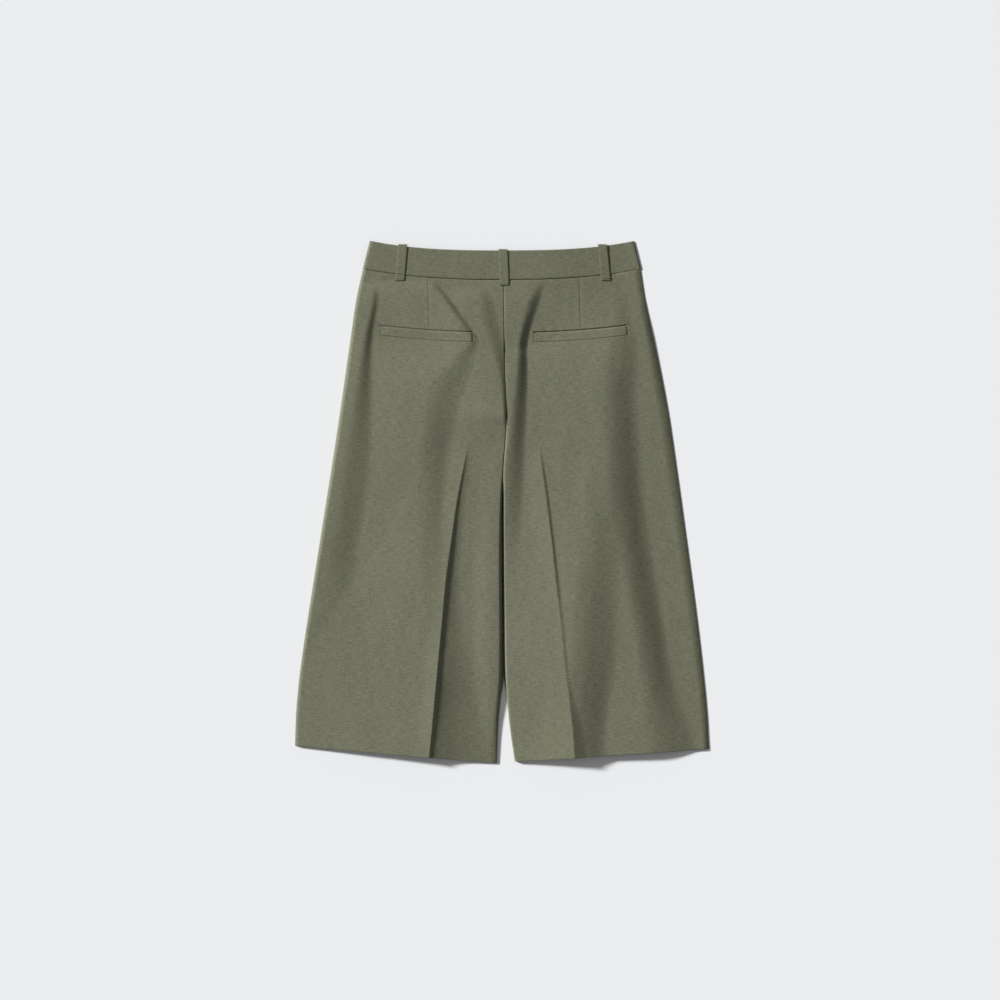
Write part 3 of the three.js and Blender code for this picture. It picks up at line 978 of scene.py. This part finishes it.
@dataclass
class FrontLeg:
    """One front leg, lying flat on its face under the back."""

    outline: LegOutline
    rows: int = 90
    columns: int = 24
    hem_inset: float = 1.6
    side_inset: float = 2.4
    closed: float = 0.82

    def grid(self) -> ClothGrid:
        """The front leg's upper face."""
        shares = np.linspace(0, 1, self.rows)
        outer = self.outline.line("outseam", shares)[:, None] - self.outline.side.value * self.side_inset
        both = [outline.line("inner", shares)[:, None] for outline in (LEFT_OUTLINE, RIGHT_OUTLINE)]
        middle = sum(both) / 2 + self.outline.side.value * BUILD.gap / 2
        apart = smooth_step((shares - self.closed) / 0.05)[:, None]
        inner = middle + (self.outline.line("inner", shares)[:, None] - middle) * apart
        across = np.linspace(0, 1, self.columns)[None, :]
        x = outer + (inner - outer) * across
        share = np.broadcast_to(shares[:, None], x.shape)
        y = self.outline.y_of(share, np.broadcast_to(across, x.shape))
        y = y - WAIST.dip(x) * np.clip(1 - share / 0.25, 0, 1) + self.hem_inset * share**8
        z = np.full_like(x, BUILD.front)
        place = np.stack([x, y, z], axis=-1)
        return ClothGrid(place, cloth_coordinates(place, self.columns // 2))

    def build(self) -> bpy.types.Object:
        """The front leg's object, with its wall."""
        name = f"front_leg_{self.outline.side.word}"
        piece = new_object(name, self.grid().to_mesh(name))
        thicken(piece, BUILD.front)
        return piece


# ------------------------------------------------------------------ waistband and loops


@dataclass(frozen=True)
class Waistband:
    """A stretch of the folded waistband, between two shares of its half width."""

    name: str
    start: float
    end: float
    base: float
    dips: bool
    depth: float = 37.0
    fold_radius: float = 1.1
    side_roll: float = 4.0
    stations: int = 190

    def section(self) -> np.ndarray:
        """Points around the band: share of its depth (0 seam, 1 top) and share of its height."""
        r = self.fold_radius / self.depth
        top_turn, seam_turn = (np.radians(np.linspace(0, 180, count)) for count in (11, 7))
        top_arc = [(1 - r + r * math.sin(a), 0.5 + 0.5 * math.cos(a)) for a in top_turn]
        seam_arc = [(r * 0.5 * (1 - math.sin(a)), 0.5 - 0.5 * math.cos(a)) for a in seam_turn]
        face = [(k, 1.0) for k in np.linspace(r * 0.5, 1 - r, 16)[1:-1]]
        under = [(k, 0.0) for k in np.linspace(1 - r, r * 0.5, 8)[1:-1]]
        return np.array(face + top_arc + under + seam_arc + face[:1])

    def grid(self) -> ClothGrid:
        """The band's surface, all the way round it."""
        section = self.section()
        along = np.linspace(self.start, self.end, self.stations)
        seam_x, top_x = along * WAIST.half_seam, along * WAIST.half_top
        dip = WAIST.dip if self.dips else np.zeros_like
        foot = np.stack([seam_x, WAIST.seam(seam_x) - dip(seam_x) + 0.15], axis=-1)
        head = np.stack([top_x, WAIST.top(top_x) - dip(top_x)], axis=-1)
        depth = section[:, 0][:, None, None]
        flat = foot[None] + (head - foot)[None] * depth
        to_side = (1 - np.abs(along)) * WAIST.half_seam
        bend = np.sqrt(np.clip(1 - (1 - np.clip(to_side / self.side_roll, 0, 1)) ** 2, 0, 1))[None, :]
        level = section[:, 1][:, None]
        height = 1 - (1 - level) * bend if self.dips else level * bend
        z = (self.base + WAIST.thickness * height) * WAIST.settled(seam_x)[None, :]
        place = np.concatenate([flat, z[:, :, None]], axis=-1)
        across = np.broadcast_to(seam_x[None, :], z.shape)
        around = np.broadcast_to(self.depth * section[:, :1], z.shape)
        return ClothGrid(place, np.stack([across, around], axis=-1) * MM)

    def build(self) -> bpy.types.Object:
        """The band's object."""
        mesh = self.grid().to_mesh(self.name)
        close_seams(mesh)
        return new_object(self.name, mesh)


def close_seams(mesh: bpy.types.Mesh) -> None:
    """Merges a tube's meeting edges and points its faces outwards."""
    bm = bmesh.new()
    bm.from_mesh(mesh)
    bmesh.ops.remove_doubles(bm, verts=bm.verts, dist=1e-6)
    open_edges = [edge for edge in bm.edges if edge.is_boundary]
    bmesh.ops.holes_fill(bm, edges=open_edges, sides=0)
    bmesh.ops.recalc_face_normals(bm, faces=bm.faces)
    bm.to_mesh(mesh)
    bm.free()


@dataclass(frozen=True)
class BeltLoop:
    """A belt loop: a folded strip that follows a path over the waistband."""

    name: str
    top_x: float
    foot_x: float
    front: bool = False
    width: float = 11.6
    thickness: float = 0.7
    slack: float = 0.3
    tail: float = 7.5

    def path(self) -> list[tuple[float, float]]:
        """The strip's outer face, as pairs of y and z, from its tail to its top."""
        near = np.array([-0.5, 0, 0.5]) * self.width
        if self.front:
            x = self.foot_x + near
            top = float(np.max(WAIST.top(x) - WAIST.dip(x)))
            seam = float(np.max(WAIST.seam(x) - WAIST.dip(x)))
            return [(seam + 0.4, 0.0), (top - 3, 0.0), (top + 0.6, 0.1), (top + 1.7, 0.9), (top + 1.8, 3.2)]
        top = float(np.max(WAIST.top(self.top_x + near)))
        seam = float(np.min(WAIST.seam(self.foot_x + near)))
        band = float(WAIST.level(np.array(self.top_x))) + 0.1 + self.thickness
        tail_y = seam - self.tail
        side = Side.RIGHT if self.foot_x > 20 else Side.LEFT
        share, foot_y = np.full(3, 0.01), np.full(3, tail_y)
        leg = float(np.max(RELIEFS[side].height(share, self.foot_x + near, foot_y))) + 0.1
        return [
            (tail_y, leg + self.thickness - 0.15),
            (tail_y + 2.5, leg + self.thickness + 0.05),
            (seam - 1.5, max(leg + self.thickness, band - 0.5)),
            (seam + 2.5, band + 0.1),
            (seam + 8, band + self.slack),
            ((seam + top) / 2, band + self.slack * 1.1),
            (top - 8, band + self.slack),
            (top - 2.5, band + 0.35),
            (top + 0.4, band + 0.05),
            (top + 1.45, band - 0.9),
            (top + 1.6, band - 3.2),
        ]

    def grid(self) -> ClothGrid:
        """The strip's outer face."""
        corners = np.array(self.path())
        chords = np.concatenate([[0], np.cumsum(np.hypot(*np.diff(corners, axis=0).T))])
        along = np.linspace(0, chords[-1], 110)
        y = smooth_curve(along, list(chords), list(corners[:, 0]))
        z = smooth_curve(along, list(chords), list(corners[:, 1]))
        low, high = corners[0, 0], corners[-1, 0]
        middle = self.foot_x + (self.top_x - self.foot_x) * np.clip((y - low) / (high - low), 0, 1)
        across = np.sin(np.linspace(-math.pi / 2, math.pi / 2, 15)) * self.width / 2
        x = middle[:, None] + across[None, :]
        edge = turned_edge(self.width / 2 - np.abs(across), 1.2, 0.22)
        side = -1.0 if self.front else 1.0
        zz = z[:, None] - side * edge[None, :]
        if self.front:
            zz = np.maximum(zz, BUILD.clear)
        else:
            zz = zz + WAIST.level(x) - WAIST.level(np.full_like(x, self.top_x))
        yy = np.broadcast_to(y[:, None], x.shape)
        place = np.stack([x, yy, zz], axis=-1)[::-1]
        weave = np.stack(np.broadcast_arrays(across[None, :], along[:, None]), axis=-1)
        return ClothGrid(place, weave[::-1] * MM)

    def build(self) -> bpy.types.Object:
        """The loop's object, with its wall."""
        mesh = self.grid().to_mesh(self.name)
        if self.front:
            mesh.flip_normals()
        piece = new_object(self.name, mesh)
        thicken(piece, self.thickness)
        return piece


# ------------------------------------------------------------------ stitching


@dataclass(frozen=True)
class Stitch:
    """One short stitch of thread on the cloth, in millimetres."""

    centre: tuple[float, float, float]
    length: float
    turn: float
    width: float = 0.42
    height: float = 0.26

    def add_to(self, bm: bmesh.types.BMesh) -> None:
        """Adds the stitch to a mesh as a small rounded bead of thread."""
        before = set(bm.verts)
        bmesh.ops.create_uvsphere(bm, u_segments=8, v_segments=5, radius=0.5)
        fresh = [vert for vert in bm.verts if vert not in before]
        size = Matrix.Diagonal((self.width * MM, self.length * MM, self.height * 2 * MM, 1.0))
        place = Matrix.Translation(Vector(self.centre) * MM) @ Matrix.Rotation(self.turn, 4, "Z")
        bmesh.ops.transform(bm, matrix=place @ size, verts=fresh)


def sort_elements(elements: object, place: Callable) -> None:
    """Puts a mesh's corners or faces in the order of their places.

    Args:
        elements: a bmesh's sequence of corners or faces.
        place: gives an element's place, as a tuple.
    """
    elements.index_update()
    ranked = sorted(elements, key=place)
    rank = {element.index: number for number, element in enumerate(ranked)}
    elements.sort(key=lambda element: rank[element.index])


@dataclass
class Stitching:
    """A piece made of the stitches that hold one part of the garment."""

    name: str
    stitches: list[Stitch] = field(default_factory=list)

    def bar(self, start: Point, end: Point, surface: Surface, length: float, pitch: float) -> None:
        """Adds a bar of close stitches that lie across a line.

        Args:
            start: x and y of the bar's first end.
            end: x and y of its other end.
            surface: gives the cloth's height at an x and a y.
            length: each stitch's length, square to the line.
            pitch: the distance from stitch to stitch.
        """
        run = np.array(end) - np.array(start)
        distance = float(np.hypot(*run))
        turn = math.atan2(run[1], run[0])
        for k in range(int(distance / pitch) + 1):
            x, y = np.array(start) + run * (k * pitch / distance)
            skew = 0.14 if k % 2 else -0.14
            self.stitches.append(Stitch((x, y, surface(x, y)), length, turn + skew))

    def row(self, start: Point, end: Point, surface: Surface, length: float, gap: float) -> None:
        """Adds a row of stitches that run along a line.

        Args:
            start: x and y of the row's first end.
            end: x and y of its other end.
            surface: gives the cloth's height at an x and a y.
            length: each stitch's length.
            gap: the distance between one stitch and the next.
        """
        run = np.array(end) - np.array(start)
        distance = float(np.hypot(*run))
        turn = math.atan2(run[1], run[0]) - math.pi / 2
        count = max(1, int(distance / (length + gap)))
        for k in range(count):
            x, y = np.array(start) + run * ((k + 0.5) / count)
            self.stitches.append(Stitch((x, y, surface(x, y)), length, turn))

    def build(self) -> bpy.types.Object:
        """The stitches' object."""
        bm = bmesh.new()
        for stitch in self.stitches:
            stitch.add_to(bm)
        for face in bm.faces:
            face.smooth = True
        bmesh.ops.recalc_face_normals(bm, faces=bm.faces)
        # Spheres come with their faces in no fixed order, so it is fixed here.
        sort_elements(bm.verts, lambda vert: tuple(vert.co))
        sort_elements(bm.faces, lambda face: tuple(face.calc_center_median()))
        mesh = bpy.data.meshes.new(self.name)
        bm.to_mesh(mesh)
        bm.free()
        return new_object(self.name, mesh)


# ------------------------------------------------------------------ finishes


class NodeSheet:
    """Adds nodes to a material's tree, in few words."""

    def __init__(self, material: bpy.types.Material) -> None:
        """Starts on a material's own tree, emptied.

        Args:
            material: the material to fill.
        """
        material.use_nodes = True
        self.tree = material.node_tree
        self.tree.nodes.clear()

    def add(self, kind: str, settings: dict | None = None, **inputs) -> bpy.types.Node:
        """Adds a node.

        Args:
            kind: the node's type.
            settings: attributes to set on it.
            inputs: sockets by name, each a value or another node's output.

        Returns:
            The node.
        """
        node = self.tree.nodes.new(kind)
        for key, value in (settings or {}).items():
            setattr(node, key, value)
        for key, value in inputs.items():
            self.join(node.inputs[key.replace("_", " ")], value)
        return node

    def join(self, socket: bpy.types.NodeSocket, value: object) -> None:
        """Links an output to a socket, or sets the socket's value."""
        if isinstance(value, bpy.types.NodeSocket):
            self.tree.links.new(value, socket)
        else:
            socket.default_value = value

    def maths(self, operation: str, first: object, second: object = 0.0) -> bpy.types.NodeSocket:
        """A Math node's output."""
        node = self.add("ShaderNodeMath", {"operation": operation})
        self.join(node.inputs[0], first)
        self.join(node.inputs[1], second)
        return node.outputs[0]


@dataclass(frozen=True)
class SuitingFinish:
    """Plain-woven olive suiting: mixed yarns, uneven in thickness, with a dry face."""

    name: str = "olive_suiting"
    colour: tuple[float, float, float] = (0.143, 0.146, 0.097)
    yarn: float = 0.00046
    fleck: float = 0.0025
    slub_length: float = 0.0090
    slub_width: float = 0.0014
    fleck_contrast: float = 0.26
    slub_contrast: float = 0.58
    cloud_contrast: float = 0.10
    roughness: float = 0.86
    sheen: float = 0.12
    bump: float = 0.00006

    def _noise(self, sheet: NodeSheet, place: object, size: Point, seed: float) -> bpy.types.NodeSocket:
        """Noise on the weave's own coordinates, about -0.5 to 0.5.

        Args:
            sheet: the tree being filled.
            place: the weave's coordinates.
            size: the noise's grain across and along the cloth, in metres.
            seed: moves the pattern.

        Returns:
            The noise's output.
        """
        mapping = sheet.add("ShaderNodeMapping", Vector=place)
        mapping.inputs["Scale"].default_value = (1 / size[0], 1 / size[1], 1.0)
        mapping.inputs["Location"].default_value = (seed, seed * 0.7, seed * 1.3)
        grain = sheet.add("ShaderNodeTexNoise", {"noise_dimensions": "2D"}, Vector=mapping.outputs[0])
        grain.inputs["Scale"].default_value = 1.0
        grain.inputs["Detail"].default_value = 1.5
        grain.inputs["Roughness"].default_value = 0.5
        return sheet.maths("SUBTRACT", grain.outputs["Fac"], 0.5)

    def _yarns(self, sheet: NodeSheet, place: object) -> bpy.types.NodeSocket:
        """The height of the weave's yarns, from 0 to 1."""
        parts = sheet.add("ShaderNodeSeparateXYZ", Vector=place)
        turn = 2 * math.pi / self.yarn
        warp = sheet.maths("SINE", sheet.maths("MULTIPLY", parts.outputs["X"], turn))
        weft = sheet.maths("SINE", sheet.maths("MULTIPLY", parts.outputs["Y"], turn))
        return sheet.maths("MULTIPLY_ADD", sheet.maths("MULTIPLY", warp, weft), 0.5)

    def material(self) -> bpy.types.Material:
        """The suiting's material."""
        material = bpy.data.materials.new(self.name)
        sheet = NodeSheet(material)
        weave = sheet.add("ShaderNodeUVMap", {"uv_map": "weave"}).outputs["UV"]
        fleck = self._noise(sheet, weave, (self.fleck, self.fleck), 3.1)
        weft = self._noise(sheet, weave, (self.slub_length, self.slub_width), 11.7)
        warp = self._noise(sheet, weave, (self.slub_width, self.slub_length), 23.9)
        cloud = self._noise(sheet, weave, (0.03, 0.05), 41.3)
        tone = sheet.maths("MULTIPLY", fleck, self.fleck_contrast)
        tone = sheet.maths("ADD", tone, sheet.maths("MULTIPLY", weft, self.slub_contrast))
        tone = sheet.maths("ADD", tone, sheet.maths("MULTIPLY", warp, self.slub_contrast * 0.7))
        tone = sheet.maths("ADD", tone, sheet.maths("MULTIPLY", cloud, self.cloud_contrast))
        factor = sheet.maths("ADD", tone, 1.0)
        colour = sheet.add("ShaderNodeVectorMath", {"operation": "SCALE"})
        colour.inputs[0].default_value = self.colour
        sheet.join(colour.inputs["Scale"], factor)

        yarns = self._yarns(sheet, weave)
        height = sheet.maths("ADD", yarns, sheet.maths("MULTIPLY", weft, 0.8))
        height = sheet.maths("ADD", height, sheet.maths("MULTIPLY", warp, 0.6))
        bump = sheet.add("ShaderNodeBump", Height=height)
        bump.inputs["Strength"].default_value = 0.6
        bump.inputs["Distance"].default_value = self.bump

        shader = sheet.add("ShaderNodeBsdfPrincipled")
        sheet.join(shader.inputs["Base Color"], colour.outputs["Vector"])
        sheet.join(shader.inputs["Normal"], bump.outputs["Normal"])
        shader.inputs["Roughness"].default_value = self.roughness
        shader.inputs["Specular IOR Level"].default_value = 0.25
        shader.inputs["Sheen Weight"].default_value = self.sheen
        shader.inputs["Sheen Roughness"].default_value = 0.45
        shader.inputs["Sheen Tint"].default_value = (0.80, 0.82, 0.68, 1.0)
        output = sheet.add("ShaderNodeOutputMaterial")
        sheet.join(output.inputs["Surface"], shader.outputs["BSDF"])
        return material


@dataclass(frozen=True)
class ThreadFinish:
    """Spun sewing thread, a little darker than the cloth."""

    name: str = "olive_thread"
    colour: tuple[float, float, float] = (0.118, 0.121, 0.079)
    ply: float = 0.0004
    roughness: float = 0.6

    def material(self) -> bpy.types.Material:
        """The thread's material."""
        material = bpy.data.materials.new(self.name)
        sheet = NodeSheet(material)
        place = sheet.add("ShaderNodeTexCoord").outputs["Object"]
        grain = sheet.add("ShaderNodeTexNoise", Vector=place)
        grain.inputs["Scale"].default_value = 1 / self.ply
        grain.inputs["Detail"].default_value = 1.0
        factor = sheet.maths("MULTIPLY_ADD", grain.outputs["Fac"], 0.4)
        factor.node.inputs[2].default_value = 0.8
        colour = sheet.add("ShaderNodeVectorMath", {"operation": "SCALE"})
        colour.inputs[0].default_value = self.colour
        sheet.join(colour.inputs["Scale"], factor)
        bump = sheet.add("ShaderNodeBump", Height=grain.outputs["Fac"])
        bump.inputs["Distance"].default_value = 0.00005
        shader = sheet.add("ShaderNodeBsdfPrincipled")
        sheet.join(shader.inputs["Base Color"], colour.outputs["Vector"])
        sheet.join(shader.inputs["Normal"], bump.outputs["Normal"])
        shader.inputs["Roughness"].default_value = self.roughness
        output = sheet.add("ShaderNodeOutputMaterial")
        sheet.join(output.inputs["Surface"], shader.outputs["BSDF"])
        return material


# ------------------------------------------------------------------ the garment


@dataclass(frozen=True)
class Cut:
    """The flat size that a piece of cloth was cut to, in metres."""

    width: float
    length: float
    area: float | None = None


@dataclass
class Culottes:
    """The whole garment: builds each piece, dresses it and ties it to the frame."""

    cloth: bpy.types.Material
    thread: bpy.types.Material
    front_loop_x: float = 92.0

    def build(self) -> None:
        """Builds every piece, from the front underneath to the loops on top."""
        self._backs(self._fronts())
        self._waist()

    def _dress(self, piece: bpy.types.Object, finish: bpy.types.Material, *nodes: str) -> bpy.types.Object:
        """Gives a piece its finish and its place in the frame.

        Args:
            piece: the piece.
            finish: its material.
            nodes: the frame's solids that it stands for.

        Returns:
            The piece.
        """
        piece.data.materials.append(finish)
        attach(piece, BODY)
        if nodes:
            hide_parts(*nodes)
        log.info("built %s: %d faces", piece.name, len(piece.data.polygons))
        return piece

    def _fronts(self) -> dict[Side, bpy.types.Object]:
        """The front legs and front waistband, which lie on the surface."""
        legs = {}
        for outline in (LEFT_OUTLINE, RIGHT_OUTLINE):
            side = outline.side
            leg = self._dress(FrontLeg(outline).build(), self.cloth, f"front_panel_{side.word}")
            legs[side] = leg
            start, end = sorted((0.0, float(side.value)))
            name = f"front_band_{side.word}"
            band = Waistband(name, start, end, WAIST.front_base, True, stations=80).build()
            self._dress(band, self.cloth, f"waistband_front_{side.word}")
            loop_x = side.value * self.front_loop_x
            loop = BeltLoop(f"front_loop_{side.word}", loop_x, loop_x, front=True).build()
            self._dress(loop, self.cloth, f"belt_loop_front_{side.word}")
        return legs

    def _backs(self, fronts: dict[Side, bpy.types.Object]) -> None:
        """The back legs with their welt pockets."""
        welts = {Side.LEFT: (-155.0, -37.4), Side.RIGHT: (160.0, 40.6)}
        for outline in (LEFT_OUTLINE, RIGHT_OUTLINE):
            side = outline.side
            welt = PocketWelt(side, *welts[side])
            back = BackLeg(outline, welt)
            leg = self._dress(back.build(), self.cloth, f"back_panel_{side.word}")
            strip = self._dress(welt.build(back), self.cloth, f"pocket_welt_{side.word}")
            tacks = self._dress(self._welt_tacks(back, welt), self.thread)
            log.info("stitched %s", tacks.name)

    def _welt_tacks(self, back: BackLeg, welt: PocketWelt) -> bpy.types.Object:
        """The double rows of stitches that close a welt's two ends."""
        stitching = Stitching(f"welt_stitches_{welt.side.word}")
        length = BUILD.leg_length
        for end_x, inward in ((welt.outer_x, -welt.side.value), (welt.inner_x, welt.side.value)):
            for step in (0.6, 2.4):
                x = end_x + inward * step
                ends = [(x, float(back.y_at(np.array(s), np.array(x)))) for s in (welt.top, welt.bottom)]

                def surface(px: float, py: float) -> float:
                    share = (ends[0][1] - py) / length + welt.top
                    relief = RELIEFS[welt.side]
                    return float(relief.height(np.array([share]), np.array([px]), np.array([py]))[0]) + 0.05

                stitching.row(ends[0], ends[1], surface, 1.7, 0.5)
        return stitching.build()

    def _waist(self) -> None:
        """The back waistband and its three loops."""
        band = Waistband("back_band", -1.0, 1.0, WAIST.back_base, False).build()
        self._dress(band, self.cloth, "waistband_back")
        loops = (("left", -126.7, -130.6), ("center", 1.3, 3.0), ("right", 128.4, 133.0))
        for word, top_x, foot_x in loops:
            loop = BeltLoop(f"back_loop_{word}", top_x, foot_x)
            piece = self._dress(loop.build(), self.cloth, f"belt_loop_back_{word}")
            self._dress(self._loop_tacks(loop), self.thread)

    def _loop_tacks(self, loop: BeltLoop) -> bpy.types.Object:
        """The two bars of close stitches across a loop's lower end."""
        stitching = Stitching(f"{loop.name}_stitches")
        tail_y, tail_z = loop.path()[0]
        for step in (1.1, 3.4):
            y = tail_y + step
            start = (loop.foot_x - loop.width / 2 + 0.4, y)
            end = (loop.foot_x + loop.width / 2 - 0.4, y)
            stitching.bar(start, end, lambda _x, _y: tail_z + 0.1, 1.3, 0.55)
        return stitching.build()


# ------------------------------------------------------------------ studio


@dataclass(frozen=True)
class Studio:
    """A pale floor, one low soft key light from the upper left, and an even fill."""

    floor_size: float = 8.0
    floor_tone: tuple[float, float, float] = (0.815, 0.825, 0.840)
    key_from: tuple[float, float, float] = (-0.841, 0.375, 0.391)
    key_strength: float = 6.15
    key_spread: float = 8.0
    fill: tuple[float, float, float] = (0.255, 0.255, 0.255)
    camera_height: float = 4.0
    view_width: float = 1.28
    centre: tuple[float, float] = (-0.00256, 0.00256)

    def build(self) -> None:
        """Builds the floor, the lights and the camera."""
        self._camera()
        self._floor()
        self._key()
        self._fill()
        settings = bpy.context.scene.view_settings
        settings.view_transform = "Standard"
        settings.look = "None"

    def _camera(self) -> None:
        """A long lens, straight above the garment."""
        data = bpy.data.cameras.new("camera")
        data.sensor_width = 36.0
        data.lens = 36.0 * self.camera_height / self.view_width
        data.clip_end = 50.0
        camera = bpy.data.objects.new("camera", data)
        camera.location = (*self.centre, self.camera_height)
        bpy.context.scene.collection.objects.link(camera)
        bpy.context.scene.camera = camera

    def _floor(self) -> None:
        """The surface that the garment lies on."""
        bm = bmesh.new()
        bmesh.ops.create_grid(bm, x_segments=8, y_segments=8, size=self.floor_size / 2)
        mesh = bpy.data.meshes.new("floor")
        bm.to_mesh(mesh)
        bm.free()
        floor = new_object("floor", mesh)
        material = bpy.data.materials.new("floor_paint")
        sheet = NodeSheet(material)
        shader = sheet.add("ShaderNodeBsdfPrincipled")
        shader.inputs["Base Color"].default_value = (*self.floor_tone, 1.0)
        shader.inputs["Roughness"].default_value = 1.0
        shader.inputs["Specular IOR Level"].default_value = 0.0
        output = sheet.add("ShaderNodeOutputMaterial")
        sheet.join(output.inputs["Surface"], shader.outputs["BSDF"])
        mesh.materials.append(material)

    def _key(self) -> None:
        """The low light that draws the folds."""
        data = bpy.data.lights.new("key", "SUN")
        data.energy = self.key_strength
        data.angle = math.radians(self.key_spread)
        key = bpy.data.objects.new("key", data)
        key.rotation_euler = Vector(self.key_from).to_track_quat("Z", "Y").to_euler()
        bpy.context.scene.collection.objects.link(key)

    def _fill(self) -> None:
        """Even light from all round."""
        world = bpy.data.worlds.new("fill")
        world.use_nodes = True
        world.node_tree.nodes["Background"].inputs["Color"].default_value = (*self.fill, 1.0)
        world.node_tree.nodes["Background"].inputs["Strength"].default_value = 1.0
        bpy.context.scene.world = world


def main() -> None:
    """Builds the studio and the garment."""
    logging.basicConfig(level=logging.INFO, format="%(message)s")
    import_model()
    Studio().build()
    Culottes(SuitingFinish().material(), ThreadFinish().material()).build()


if __name__ == "__main__":
    main()
